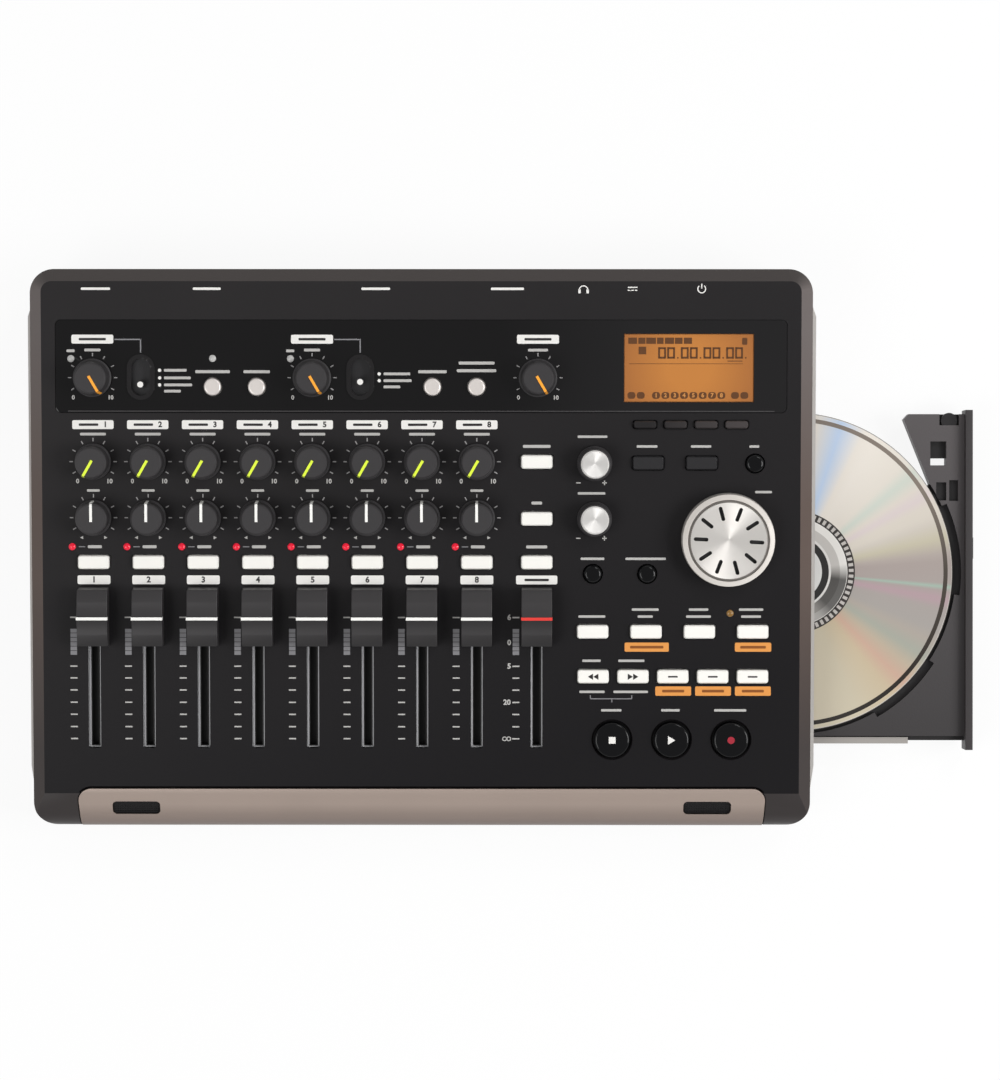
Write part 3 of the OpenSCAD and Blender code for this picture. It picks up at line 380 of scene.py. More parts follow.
def blasted_aluminium(name, colour, roughness, fades=()):
    """Anodised aluminium with an even blasted grain."""
    material, tree, place = new_material(name)
    tone = mix(tree, noise(tree, place, CLOUD_MM, 2.0), dimmed(colour), colour)
    grit = noise(tree, place, BLAST_MM, 2.0)
    close_tree(tree, Base_Color=blended(tree, tone, fades), Metallic=0.3, Roughness=roughness,
               Normal=relief(tree, grit, 0.2, GRAIN_DEPTH_MM))
    return material


def spun_aluminium(name, colour, centre):
    """Lathe-turned aluminium with rings about a centre in the row frame."""
    material, tree, place = new_material(name)
    radius = vector(tree, "LENGTH", vector(tree, "SUBTRACT", place, centre))
    rings = add(tree, "TexNoise", {"noise_dimensions": "1D"}, W=radius, Scale=1 / (RING_MM * MM))
    close_tree(tree, Base_Color=linear(colour), Metallic=0.55, Roughness=0.38, Anisotropic=0.8,
               Anisotropic_Rotation=FAN_TURN, Tangent=round_tangent(tree),
               Normal=relief(tree, rings.outputs["Fac"], 0.12, GRAIN_DEPTH_MM))
    return material


def bright_metal(name, colour, roughness):
    """Plain plated or rolled metal with faint smears."""
    material, tree, place = new_material(name)
    smear = noise(tree, place, SMEAR_MM, 3.0)
    rough = add(tree, "MapRange", Value=smear, _3=roughness * 0.8, _4=roughness * 1.25)
    close_tree(tree, Base_Color=linear(colour), Metallic=0.8, Roughness=rough.outputs[0])
    return material


trim_span = span("front_trim")
trim_front_v = trim_span[1][0]
# Painted shade: the trim's colour darkens over its front edge.
trim_alu = blasted_aluminium("blasted_champagne_aluminium", "#A8988E", 0.42,
                             [("#6E625C", by_place(on_panel(0, trim_front_v + TRIM_SHADE_MM),
                                                   on_panel(0, trim_front_v)))])
key_silver = blasted_aluminium("silver_plated_key", "#E3DCD7", 0.30)
wheel_alu = spun_aluminium("spun_aluminium_wheel", "#DEDAD5", on_panel(wheel_u, wheel_v))
high_alu = spun_aluminium("spun_aluminium_high", "#E4E2DF", on_panel(tone_u, high_v))
low_alu = spun_aluminium("spun_aluminium_low", "#E4E2DF", on_panel(tone_u, low_v))
plated_rim = blasted_aluminium("plated_rim", "#E6E0D9", 0.22)
groove_metal = bright_metal("turned_groove", "#8E8984", 0.35)
steel = bright_metal("rolled_steel", "#B9BABC", 0.32)
zinc = blasted_aluminium("zinc_plated_rail", "#B0ABA6", 0.28)
nickel = bright_metal("nickel_plated_brass", "#CFCDC8", 0.20)
print("metals ready")

# %% [markdown]
# ## Microphone mesh
#
# Woven steel wire, painted black, sits behind the two slots in the trim. Real
# wires lie about 0.6 mm apart, and they are drawn 0.9 mm apart so that they show.
# Two crossed waves give the weave's height, and the gaps between the wires stay
# darker than the wires.

# %% Microphone mesh
WIRE_MM = 0.9
WAVE_UNIT = 20  # radians that the wave texture turns for each unit of its scale


def wire_mesh():
    """Black painted wire cloth."""
    material, tree, place = new_material("painted_wire_mesh")
    scale = 2 * math.pi / (WIRE_MM * MM) / WAVE_UNIT
    bands = [add(tree, "TexWave", {"bands_direction": axis}, Vector=place, Scale=scale).outputs["Fac"]
             for axis in ("X", "Y")]
    weave = calc(tree, "MAXIMUM", *bands)
    close_tree(tree, Base_Color=mix(tree, weave, "#020202", "#161516"), Roughness=0.45,
               Normal=relief(tree, weave, 0.8, 0.2), Specular_IOR_Level=0.2)
    return material


mic_mesh = wire_mesh()
print("mesh:", mic_mesh.name)

# %% [markdown]
# ## Boards
#
# The boards lie inside the case, and only an open slot shows them. They are
# green solder mask over glass fibre, with black components on top.

# %% Board finish
board_green = polished_plastic("solder_mask", "#1C4A33", 0.35, 0.5)
component_black = moulded_plastic("component_epoxy", "#1C1B1B", "#232222", 0.5, 0.6, 0.2, 0.3)
print("board finishes:", board_green.name, component_black.name)

# %% [markdown]
# ## The disc
#
# A disc is clear polycarbonate over a metal layer. From the middle outwards it
# has a clear hub, a mirror band, a ring of small marks, the wide data area, a
# dark groove, a bright edge and a clear rim. The data track is a spiral so fine
# that it splits light, so the data area shows faint fans of colour along its
# radius; here they are painted into the colour at fixed angles. The zones come
# from the distance to the spindle. A painted sheen goes round with the angle, and
# each painted fan is a narrow wedge of its own tint laid into it. The groove's
# tone goes round too, as painted shade. The mirror band carries a painted
# reflection of the dark room in front of the machine on its nearer half: white
# in its list of greys is full shade.

# %% Disc finish
disc_low, disc_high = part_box("disc")
disc_centre = (Vector(disc_low) + Vector(disc_high)) / 2
RIM_R = 60
ZONES_MM = ((0.0, "#E6E5E2"), (10.6, "#2B2928"), (13.2, "#E8E5E1"), (14.2, "#CDC9C4"), (17.4, "#F0EDE8"),
            (20.2, "#393432"), (23.2, "#D8D6D3"), (56.6, "#554B44"), (58.2, "#DCD8D0"), (59.6, "#6A645F"))
DATA_MM, GROOVE_MM, EDGE_MM = (23.2, 56.6), (56.6, 58.2), (58.2, 59.6)
MARKS_MM, MIRROR_MM = (20.9, 22.7), (14.2, 20.2)
PAINTED_SHEEN_DEG = ((-180, "#CFC8BC"), (-65, "#CCC2AB"), (-48, "#CFBC9E"), (-22, "#ACA6A1"), (4, "#AFA39E"),
             (22, "#DED6CA"), (58, "#EDE6DC"), (180, "#CFC8BC"))
PAINTED_FANS_DEG = ((-45, 6, "#D0AE9A"), (-33, 6, "#ABAEA2"), (-10.5, 4, "#BA9FA6"), (-5.5, 1, "#A8C0B1"),
            (13, 6, "#CCC5AE"), (30, 4, "#E0D3D2"), (39, 5, "#D3DACF"), (72, 9, "#C0D4EE"))
SHADE_DEG = ((-180, "#000000"), (-90, "#8A8A8A"), (-58, "#BCBCBC"), (-44, "#ECECEC"), (-9, "#F0F0F0"),
             (9, "#202020"), (180, "#000000"))
GROOVE_SHADE_DEG = ((-180, "#6A6058"), (-90, "#231D18"), (-40, "#2A231D"), (0, "#4E463F"), (35, "#8A7F75"),
              (180, "#6A6058"))
MARKS, MARK_CUT = 64, -0.1


def fan_stops():
    """The painted sheen's stops that lie outside every painted fan, and three stops for each fan."""
    def sheen(deg):
        for (a, tone_a), (b, tone_b) in zip(PAINTED_SHEEN_DEG, PAINTED_SHEEN_DEG[1:]):
            if a <= deg <= b:
                share = (deg - a) / (b - a)
                mixed = [round(int(tone_a[k:k + 2], 16) * (1 - share) + int(tone_b[k:k + 2], 16) * share)
                         for k in (1, 3, 5)]
                return "#%02X%02X%02X" % tuple(mixed)

    stops = [stop for stop in PAINTED_SHEEN_DEG if all(abs(stop[0] - deg) > half for deg, half, _ in PAINTED_FANS_DEG)]
    for deg, half, colour in PAINTED_FANS_DEG:
        stops += [(deg - half, sheen(deg - half)), (deg, colour), (deg + half, sheen(deg + half))]
    return sorted(stops)


def ramp(tree, value, stops):
    """A colour ramp along a value, from pairs of place and hex colour."""
    node = add(tree, "ValToRGB", Fac=value)
    elements = node.color_ramp.elements
    while len(elements) < len(stops):
        elements.new(0.5)
    for element, (place, colour) in zip(elements, stops):
        element.position = place
        element.color = linear(colour)
    return node


def pressed_disc():
    """Metallised disc with its zones, its painted sheen, colour fans and shade."""
    material, tree, place = new_material("metallised_polycarbonate")
    axes = add(tree, "SeparateXYZ", _0=vector(tree, "SUBTRACT", place, disc_centre))
    flat = add(tree, "CombineXYZ", X=axes.outputs[0], Y=axes.outputs[1])
    share = calc(tree, "DIVIDE", vector(tree, "LENGTH", flat.outputs[0]), RIM_R * MM)
    angle = calc(tree, "ARCTAN2", axes.outputs[1], axes.outputs[0])
    turn = add(tree, "MapRange", Value=angle, _1=-math.pi, _2=math.pi).outputs[0]

    def within(low_mm, high_mm):
        """One between two radii, else nought."""
        return calc(tree, "COMPARE", share, (low_mm + high_mm) / 2 / RIM_R, (high_mm - low_mm) / 2 / RIM_R)

    def going_round(stops):
        """Colours that follow the angle, from stops in degrees."""
        return ramp(tree, turn, [(deg / 360 + 0.5, colour) for deg, colour in stops]).outputs[0]

    zone = ramp(tree, share, [(r / RIM_R, colour) for r, colour in ZONES_MM])
    zone.color_ramp.interpolation = "CONSTANT"
    metal = calc(tree, "MAXIMUM", within(*DATA_MM), within(*EDGE_MM))
    # Painted sheen and painted colour fans over the data area and the edge.
    tone = mix(tree, metal, zone.outputs[0], going_round(fan_stops()))
    # Painted shade: the groove's tone goes round with the angle.
    tone = mix(tree, within(*GROOVE_MM), tone, going_round(GROOVE_SHADE_DEG))
    # Painted reflection: the mirror band's nearer half darkens where it would show the dark room.
    hub = calc(tree, "MULTIPLY", going_round(SHADE_DEG), within(*MIRROR_MM))
    tone = mix(tree, hub, tone, "#1A1716")
    beat = calc(tree, "SINE", calc(tree, "MULTIPLY", angle, MARKS))
    mark = calc(tree, "MULTIPLY", calc(tree, "GREATER_THAN", beat, MARK_CUT), within(*MARKS_MM))
    close_tree(tree, Base_Color=mix(tree, mark, tone, "#C9C4BF"), Metallic=0.25, Roughness=0.28,
               Anisotropic=0.7, Tangent=round_tangent(tree), Coat_Weight=0.4, Coat_Roughness=0.03)
    return material


disc_silver = pressed_disc()
print("disc centre", [round(c, 4) for c in disc_centre])

# %% [markdown]
# ## Dressing the solids
#
# A node keeps its mesh, and gets its main finish plus others for the faces that
# a test picks: the pointer of a knob, the rim of the case, a lamp on the board.
# The test sees where a face is and which way it looks, in the panel's frame.

# %% Dress the nodes
def dress(node, finish, *extras):
    """Gives a node its finish, and each extra finish to the faces that its test picks."""
    mesh = nodes[node].data
    mesh.materials.clear()
    for material in [finish] + [extra for extra, _ in extras]:
        mesh.materials.append(material)
    tally = 0
    for face in mesh.polygons:
        face.use_smooth = True
        face.material_index = 0
        place = in_panel(face.center)
        look = tuple(face.normal.dot(axis) for axis in (right, along, outward))
        for number, (_, test) in enumerate(extras, 1):
            if test(place, look):
                face.material_index = number
                tally += 1
    return tally


case_half_w = max(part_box("top_case")[1][0], -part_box("top_case")[0][0]) / MM
rear_v = in_panel((0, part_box("top_case")[1][1], panel_origin.z))[1]


SIDE_RIM_MM, REAR_RIM_MM, RIM_FOOT_W = 7, 9, -14
FLAT_CHEEK, CHEEK_SLACK = 0.99, 0.05


def on_rim(place, look):
    """The bevel and sides of the upper case, but not its openings or its front roll."""
    sideways = abs(place[0]) > case_half_w - SIDE_RIM_MM and abs(look[0]) > 0.3 and look[1] > -0.4
    rearward = place[1] > rear_v - REAR_RIM_MM and look[1] > 0.3
    return (sideways or rearward) and look[2] > -0.5 and place[2] > RIM_FOOT_W


def on_cheek(place, look):
    """The silver sides of the lower case, which stand out past the upper case."""
    return abs(place[0]) > case_half_w - CHEEK_SLACK


TRANSPORT_R, DISH_MM = 6.6, 1.6
transport_keys = ("stop_key", "play_key", "record_key")
transport_seats = [middle(name)[:2] for name in transport_keys]


def on_transport_collar(place, look):
    """The bright dish round each transport key."""
    reach = min(math.hypot(place[0] - u, place[1] - v) for u, v in transport_seats)
    return TRANSPORT_R < reach < TRANSPORT_R + DISH_MM and 0.3 < look[2] < 0.95


FRONT_ROLL_MM, ROLL_FOOT_W = 16, -30
roll_rear_v = -rear_v + FRONT_ROLL_MM


def on_front_roll(place, look):
    """The rolled front edge on either side of the trim, given a lighter copy of the case plastic as painted light.
    """
    return place[1] < roll_rear_v and look[1] < -0.08 and look[2] > -0.5 and place[2] > ROLL_FOOT_W


faders = [f"track_fader_{i}" for i in range(1, 9)] + ["master_fader"]
fader_u = [middle(name)[0] for name in faders]
SLOT_HALF_W, SLOT_V = 2.25, (-75, -20)


def on_slot_wall(place, look):
    """The long walls of the fader slots, which are lined with pale nylon."""
    inside = SLOT_V[0] < place[1] < SLOT_V[1] and place[2] < -0.05
    return inside and abs(look[0]) > 0.9 and min(abs(place[0] - u) for u in fader_u) < SLOT_HALF_W + 0.1


dress("top_case", case_black, (front_roll_painted_light, on_front_roll), (rim_taupe, on_rim),
      (collar_black, on_transport_collar), (guide_nylon, on_slot_wall))
dress("bottom_case", tub_grey, (cheek_silver, on_cheek))
# The cheeks are flat, and smooth shading would draw its triangles on them.
for face in nodes["bottom_case"].data.polygons:
    face.use_smooth = abs(face.normal.x) < FLAT_CHEEK
dress("front_trim", trim_alu)
dress("mic_grilles", mic_mesh)
switches = ("input_a_switch", "input_b_switch")
switch_u = [middle(name)[0] for name in switches]
SWITCH_V, COLLAR_HALF_W, COLLAR_FOOT_W = 63.6, 6, -0.15


def on_switch_collar(place, look):
    """The raised ovals round the slide switches."""
    return place[2] > COLLAR_FOOT_W and min(abs(place[0] - u) for u in switch_u) < COLLAR_HALF_W


dress("inset_panel", inset_gloss, (collar_black, on_switch_collar))
dress("lcd_module", display_amber)
dress("main_board", board_green)
dress("rear_panel", inset_gloss)
dress("drive_chassis", steel)
dress("rubber_feet", foot_black)
dress("case_screws", steel)
WELL_R, LIP_MM = 66, 0.4


def in_tray_well(place, look):
    """Floors sunk in the tray, and the wall round the disc, which get painted shade."""
    point = on_panel(*place)
    reach = math.hypot(point.x - disc_centre.x, point.y - disc_centre.y)
    sunk = point.z < tray_high[2] - LIP_MM * MM
    return sunk and (look[2] > 0.5 or reach < WELL_R * MM and look[2] > -0.5)


# Painted shade: a near-black finish on the tray's sunk floors and the wall round the disc.
dress("disc_tray", tray_grey, (tray_well_shade, in_tray_well))
dress("tray_bezel", bezel_grey)
dress("tray_runner", zinc)
dress("spindle_hub", nickel)
dress("disc", disc_silver)
for name in ("eject_button", "power_button") + switches:
    dress(name, dark_abs)
for name in ("track_keys", "locate_keys"):
    dress(name, white_abs)
dress("input_keys", key_silver)
ROUND_KEY_V, SOFT_V, HOME_ROW_V = (31.7, -9.3), 46.1, 20
ROUND_REACH, SOFT_REACH = 3.5, 3


def on_soft_key(place, look):
    """The row of keys under the display."""
    return abs(place[1] - SOFT_V) < SOFT_REACH


def on_round_key(place, look):
    """The round menu keys, which are polished."""
    round_key = any(abs(place[1] - v) < ROUND_REACH for v in ROUND_KEY_V)
    home_row = place[1] > HOME_ROW_V and place[0] < wheel_u
    return round_key and not home_row


dress("menu_keys", dark_abs, (key_gloss, on_round_key), (soft_key_gloss, on_soft_key))
for name in transport_keys:
    dress(name, key_gloss)
print("case, tray, keys and switches dressed")

# %% [markdown]
# ## Soft edges
#
# Nothing moulded has a knife edge. A bevel of a few tenths of a millimetre is
# what catches the lamps along keys and caps. The solids come with every face
# apart, so a weld joins them first, and weighted normals keep the flat faces flat.

# %% Soft edges
SOFT_MM, CAP_SOFT_MM, SHARP_DEG = 0.3, 0.35, 38


def soften(node, width_mm):
    """Rounds a node's sharp edges without touching its mesh."""
    piece = nodes[node]
    weld = piece.modifiers.new("weld", "WELD")
    weld.merge_threshold = 0.002 * MM
    bevel = piece.modifiers.new("soft_edge", "BEVEL")
    bevel.width = width_mm * MM
    bevel.segments = 2
    bevel.limit_method = "ANGLE"
    bevel.angle_limit = math.radians(SHARP_DEG)
    bevel.use_clamp_overlap = True
    normals = piece.modifiers.new("flat_faces", "WEIGHTED_NORMAL")
    normals.weight = 90
    normals.keep_sharp = True


for name in ("track_keys", "locate_keys", "menu_keys", "disc_tray", "tray_bezel", "front_trim",
             "inset_panel", "bottom_case", "top_case"):
    soften(name, SOFT_MM)
print("softened", sum(1 for piece in nodes.values() if piece.modifiers), "nodes")

# %% [markdown]
# The board carries the lamps, the fader bodies and the pots. The lamps are told
# apart by their place, and whatever stands over the board is black.

# %% Lamps on the board
LAMP_R_MM, LAMP_DU, BOARD_TOP_W = 1.5, 8, -8.95
amber_lamp = (wheel_u + 1, -24.0)
red_lamps = [(u - LAMP_DU, 0.7) for u in track_u]
round_key_u = (track_u[2] + 3.8, track_u[3] - 0.2, track_u[6] + 3.9, track_u[7] - 0.1)
clear_lamps = [(u - LAMP_DU, 70.4) for u, _ in input_knobs[:2]] + [(round_key_u[0], 70.5)]


def near(spots):
    """A test for faces within a lamp's radius of one of the spots."""
    return lambda place, look: any(math.hypot(place[0] - u, place[1] - v) < LAMP_R_MM for u, v in spots)


lamp_faces = dress("control_board", board_green,
                   (component_black, lambda place, look: place[2] > BOARD_TOP_W),
                   (lamp_red, near(red_lamps)), (lamp_amber, near([amber_lamp])),
                   (lamp_clear, near(clear_lamps)))
print("board faces in other finishes:", lamp_faces)

# %% [markdown]
# A knob's pointer is a raised rib, so its faces are the ones that stand out of
# the knob's turned body: above its top, or further from the axis than its flank.

# %% Knobs
KNOB_BASE, KNOB_H, KNOB_TOP_R = 0.7, 9.0, 5.8
SKIRT_H, RIB_FOOT_H, CROWN_H = 1.6, 1.9, 0.6
TRACK_FOOT_R, INPUT_FOOT_R, TONE_CAP_W = 6.7, 7.1, 7.72


def on_pointer(u, v, foot_r):
    """A test for the faces of a knob's raised rib."""
    def test(place, look):
        reach = math.hypot(place[0] - u, place[1] - v)
        height = place[2] - KNOB_BASE
        if height > KNOB_H + 0.05:
            return True
        share = (height - SKIRT_H) / (KNOB_H - CROWN_H - SKIRT_H)
        flank = foot_r - 0.5 + (KNOB_TOP_R - foot_r + 0.5) * share
        return height > RIB_FOOT_H and reach > flank + 0.1
    return test


for i in range(1, 9):
    u = track_u[i - 1]
    dress(f"reverb_knob_{i}", knob_black, (pointer_lime, on_pointer(u, reverb_v, TRACK_FOOT_R)))
    dress(f"pan_knob_{i}", knob_black, (pointer_white, on_pointer(u, pan_v, TRACK_FOOT_R)))
for name, (u, v) in zip(("trim_a_knob", "trim_b_knob", "phones_level_knob"), input_knobs):
    dress(name, knob_black, (pointer_orange, on_pointer(u, v, INPUT_FOOT_R)))
for name, metal in (("eq_high_knob", high_alu), ("eq_low_knob", low_alu)):
    dress(name, knob_black, (metal, lambda place, look: place[2] > TONE_CAP_W))
for name in faders:
    dress(name, cap_grey)
    soften(name, CAP_SOFT_MM)
print("knobs and faders dressed:", 2 * len(track_u) + len(input_knobs) + 2 + len(faders))

# %% [markdown]
# The data wheel has a plated rim, a groove, a spun face and slots that were
# milled through the spun face into black plastic.

# %% Data wheel
WHEEL_R, WHEEL_TOP = 17.3, 8.8
SLOT_R, SLOT_W = (6.5, WHEEL_R - 3.9), (WHEEL_TOP - 1.6, WHEEL_TOP - 0.55)
GROOVE_R, GROOVE_W = (WHEEL_R - 3.1, WHEEL_R - 2.3), WHEEL_TOP - 1.2
RIM_IN_R, RIM_W = WHEEL_R - 2.35, 1.0


def wheel_reach(place):
    """Distance of a place from the wheel's axis."""
    return math.hypot(place[0] - wheel_u, place[1] - wheel_v)


def in_wheel_slot(place, look):
    """Floors and walls of the slots, which lie under the face."""
    deep = place[2] > SLOT_W[0] and wheel_reach(place) < SLOT_R[1]
    wall = look[2] < 0.5 and wheel_reach(place) > SLOT_R[0]
    return deep and (place[2] < SLOT_W[1] or wall)


def on_wheel_groove(place, look):
    """The groove between the face and the rim."""
    return GROOVE_R[0] < wheel_reach(place) < GROOVE_R[1] and place[2] > GROOVE_W


def on_wheel_rim(place, look):
    """The plated rim and the wheel's flank."""
    return wheel_reach(place) > RIM_IN_R and place[2] > RIM_W


other_faces = dress("data_wheel", wheel_alu, (plated_rim, on_wheel_rim), (groove_metal, on_wheel_groove),
                    (component_black, in_wheel_slot))
print("wheel faces in other finishes:", other_faces)

# %% [markdown]
# The sockets at the rear are black nylon with plated metal where a plug makes
# contact: the phono sleeves and the ring and nut of the headphone socket.

# %% Rear sockets
plate_rear_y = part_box("rear_panel")[1][1]
socket_x = {mount["name"]: mount["pos_m"][0] / MM for mount in frame["record"]["mounts"]}
PHONO_HALF_W, PHONES_HALF_W, PLATE_GAP = 4.6, 7.0, 0.1


def on_sleeve(place, look):
    """Plated faces of the sockets, outside the rear plate."""
    phono = any(abs(place[0] - x) < PHONO_HALF_W for name, x in socket_x.items() if "sleeve" in name)
    phones = abs(place[0] - socket_x["phones_socket"]) < PHONES_HALF_W
    return (phono or phones) and on_panel(*place).y > plate_rear_y + PLATE_GAP * MM


print("plated socket faces:", dress("rear_jacks", socket_black, (nickel, on_sleeve)))

# %% [markdown]
# ## Ink on the panel
#
# Everything printed on the panel is a film of ink a few hundredths of a
# millimetre thick. One helper gathers flat shapes for one ink, raises them by
# the ink's thickness and makes a single piece of them. Labels are plain bars, and
# numbers and signs are drawn.

# %% Ink helper
INK_T, INK_LIFT = 0.04, 0.01
INSET_W, MOTTLE_MM = -0.2, 0.4


def make_piece(name, bm, material, body):
    """Turns a built mesh into a piece that rides on a body."""
    mesh = bpy.data.meshes.new(name)
    bm.to_mesh(mesh)
    bm.free()
    mesh.materials.append(material)
    piece = bpy.data.objects.new(name, mesh)
    bpy.context.scene.collection.objects.link(piece)
    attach(piece, body)
    return piece


def around(u, v, radius, angle):
    """A point on a circle, at an angle in radians."""
    return u + radius * math.cos(angle), v + radius * math.sin(angle)


class Ink:
    """Flat shapes of one ink, in panel millimetres."""

    def __init__(self, level=0.0):
        self.bm = bmesh.new()
        self.level = level

    def shape(self, points):
        """A filled outline, given anticlockwise."""
        low = [self.bm.verts.new(on_panel(u, v, self.level + INK_LIFT)) for u, v in points]
        high = [self.bm.verts.new(on_panel(u, v, self.level + INK_LIFT + INK_T)) for u, v in points]
        self.bm.faces.new(high)
        self.bm.faces.new(low[::-1])
        for a in range(len(points)):
            b = (a + 1) % len(points)
            self.bm.faces.new((low[a], low[b], high[b], high[a]))

    def bar(self, u, v, width, height, corner=0.0):
        """A rectangle about its middle, with rounded corners."""
        w, h = width / 2 - corner, height / 2 - corner
        if corner == 0.0:
            self.shape([(u - w, v - h), (u + w, v - h), (u + w, v + h), (u - w, v + h)])
            return
        points = []
        for k, (su, sv) in enumerate(((1, 1), (-1, 1), (-1, -1), (1, -1))):
            for step in range(5):
                a = math.radians(90 * k + 22.5 * step)
                points.append(around(u + su * w, v + sv * h, corner, a))
        self.shape(points)

    def line(self, start, end, width):
        """A straight stroke."""
        (u0, v0), (u1, v1) = start, end
        length = math.hypot(u1 - u0, v1 - v0)
        du, dv = (u1 - u0) / length * width / 2, (v1 - v0) / length * width / 2
        self.shape([(u0 + dv, v0 - du), (u1 + dv, v1 - du), (u1 - dv, v1 + du), (u0 - dv, v0 + du)])

    def dot(self, u, v, radius, sides=24):
        """A filled circle."""
        self.shape([around(u, v, radius, 2 * math.pi * k / sides) for k in range(sides)])

    def arc(self, u, v, radius, start, end, width, steps=16):
        """A stroke along part of a circle, from angle to angle in degrees."""
        turns = [math.radians(start + (end - start) * k / steps) for k in range(steps + 1)]
        outer = [around(u, v, radius + width / 2, a) for a in turns]
        inner = [around(u, v, radius - width / 2, a) for a in turns]
        for k in range(steps):
            self.shape([inner[k], outer[k], outer[k + 1], inner[k + 1]])

    def ticks(self, u, v, near_r, far_r, width, count=9, sweep=240):
        """Scale marks round a knob, open towards the user."""
        for k in range(count):
            a = math.radians(90 + sweep / 2 - sweep * k / (count - 1))
            self.line(around(u, v, near_r, a), around(u, v, far_r, a), width)

    def digits(self, text, u, v, height):
        """Plain figures about their middle."""
        curve = bpy.data.curves.new("figures", "FONT")
        curve.body = text
        curve.align_x = "CENTER"
        curve.align_y = "CENTER"
        curve.size = height / 0.7
        curve.resolution_u = 3
        curve.offset = 0.05 * height
        helper = bpy.data.objects.new("figures", curve)
        bpy.context.scene.collection.objects.link(helper)
        bpy.context.view_layer.update()
        mesh = helper.evaluated_get(bpy.context.evaluated_depsgraph_get()).to_mesh()
        for face in mesh.polygons:
            points = [mesh.vertices[i].co for i in face.vertices]
            outline = [(u + p.x, v + p.y) for p in points]
            turn = sum(a[0] * b[1] - b[0] * a[1] for a, b in zip(outline, outline[1:] + outline[:1]))
            self.shape(outline if turn > 0 else outline[::-1])
        helper.to_mesh_clear()
        bpy.data.objects.remove(helper)
        bpy.data.curves.remove(curve)

    def make(self, name, material, body, slot):
        """Turns the shapes into a piece that rides on a body."""
        return make_piece(name, self.bm, material, body)


def screen_ink(name, colour, roughness=0.45, specular=0.3):
    """Screen-printed ink: matt, with the faint mottle of the mesh."""
    material, tree, place = new_material(name)
    tone = mix(tree, noise(tree, place, MOTTLE_MM, 2.0), dimmed(colour), colour)
    close_tree(tree, Base_Color=tone, Roughness=roughness, Specular_IOR_Level=specular)
    return material


ink_white = screen_ink("white_screen_ink", "#EDEBE7")
ink_soft = screen_ink("soft_white_screen_ink", "#B9B7B4")
ink_grey = screen_ink("grey_screen_ink", "#858487")
ink_mark = screen_ink("scale_mark_ink", "#9C9A9A")
# Painted highlight for the front edge of the inset panel.
ink_painted_highlight = screen_ink("inset_edge_painted_highlight", "#454344")
ink_seam = screen_ink("seam_shadow_ink", "#060505", 0.8, 0.02)
ink_orange = screen_ink("orange_screen_ink", "#E3984C")
ink_dark = screen_ink("dark_screen_ink", "#2A2828")
ink_brown = screen_ink("brown_screen_ink", "#8A4F1D")
ink_segment = screen_ink("display_segment", "#5F3A1C")
ink_lit = screen_ink("display_lit_segment", "#C98A4A")
ink_red = screen_ink("red_screen_ink", "#A62637")
print("inks ready")

# %% [markdown]
# ### Mixer printing
#
# Each track repeats the same set: a white plate with its number, marks round two
# knobs, a stroke from the lamp to its label, a second number plate over the
# fader, and a scale beside the slot. A grey bar in the scale shows the range in
# which a level is usually left.

# %% Mixer printing
# Height and corner radius of the label bars, from thin to bold, and of the plates.
THIN, FIRM, ROUND, BOLD = (0.9, 0.3), (1.0, 0.3), (1.0, 0.35), (1.1, 0.35)
PLATE, PLATE_W, NUMBER_W = (3.3, 0.6), 15.3, 12.2
HAIR, STROKE = 0.35, 0.4
PLATE_V, REVERB_LABEL_V, NUMBER_V, REC_LABEL_V = 46.0, 42.5, -11.6, 0.7
SCALE_V = (-25.6, -43.8, -48.2, -52.7, -57.3, -61.8, -66.4, -70.9)
SCALE_DU, RANGE_DU, RANGE_V, RANGE_STEP = (9.0, 6.4), 7.7, -30.6, 1.65
ENDLESS_DU, LOOP_R = 11.1, 0.75
TICK_R, FIGURE_DV, ARROW_DV = (7.5, 8.8), 7.3, 7.4
white, soft, grey, marks, dark = Ink(), Ink(), Ink(), Ink(), Ink(INK_T)
for i, u in enumerate(track_u, 1):
    white.bar(u, PLATE_V, PLATE_W, *PLATE)
    dark.digits(str(i), u + 4.6, PLATE_V, 2.0)
    dark.bar(u - 1.6, PLATE_V, 7.2, *THIN)
    soft.bar(u, REVERB_LABEL_V, 9.6, *ROUND)
    for v in (reverb_v, pan_v):
        marks.ticks(u, v, *TICK_R, STROKE)
    soft.digits("0", u - 5.8, reverb_v - FIGURE_DV, 1.6)
    soft.digits("10", u + 6.0, reverb_v - FIGURE_DV, 1.6)
    soft.bar(u, pan_v + 10.1, 4.8, *THIN)
    for side in (-1, 1):
        tip, back = u + side * 5.1, u + side * 3.9
        arrow = [(tip, pan_v - ARROW_DV), (back, pan_v - ARROW_DV + 0.6), (back, pan_v - ARROW_DV - 0.6)]
        soft.shape(arrow if side < 0 else arrow[::-1])
    grey.line((u - 5.6, REC_LABEL_V), (u - 3.2, REC_LABEL_V), HAIR)
    soft.bar(u + 0.4, REC_LABEL_V, 5.2, *BOLD)
    white.bar(u, NUMBER_V, NUMBER_W, *PLATE)
    dark.digits(str(i), u, NUMBER_V, 2.1)
for u in track_u + [master_u]:
    for v in SCALE_V:
        soft.line((u - SCALE_DU[0], v), (u - SCALE_DU[1], v), 0.5)
    for k in range(6):
        grey.bar(u - RANGE_DU, RANGE_V - RANGE_STEP * k, 2.4, 1.45)
white.bar(master_u, NUMBER_V, PLATE_W, *PLATE)
dark.bar(master_u, NUMBER_V, 9.0, *THIN)
for v, width in ((38.0, 10.2), (17.0, 3.9), (REC_LABEL_V, 7.8)):
    soft.bar(master_u, v, width, *BOLD)
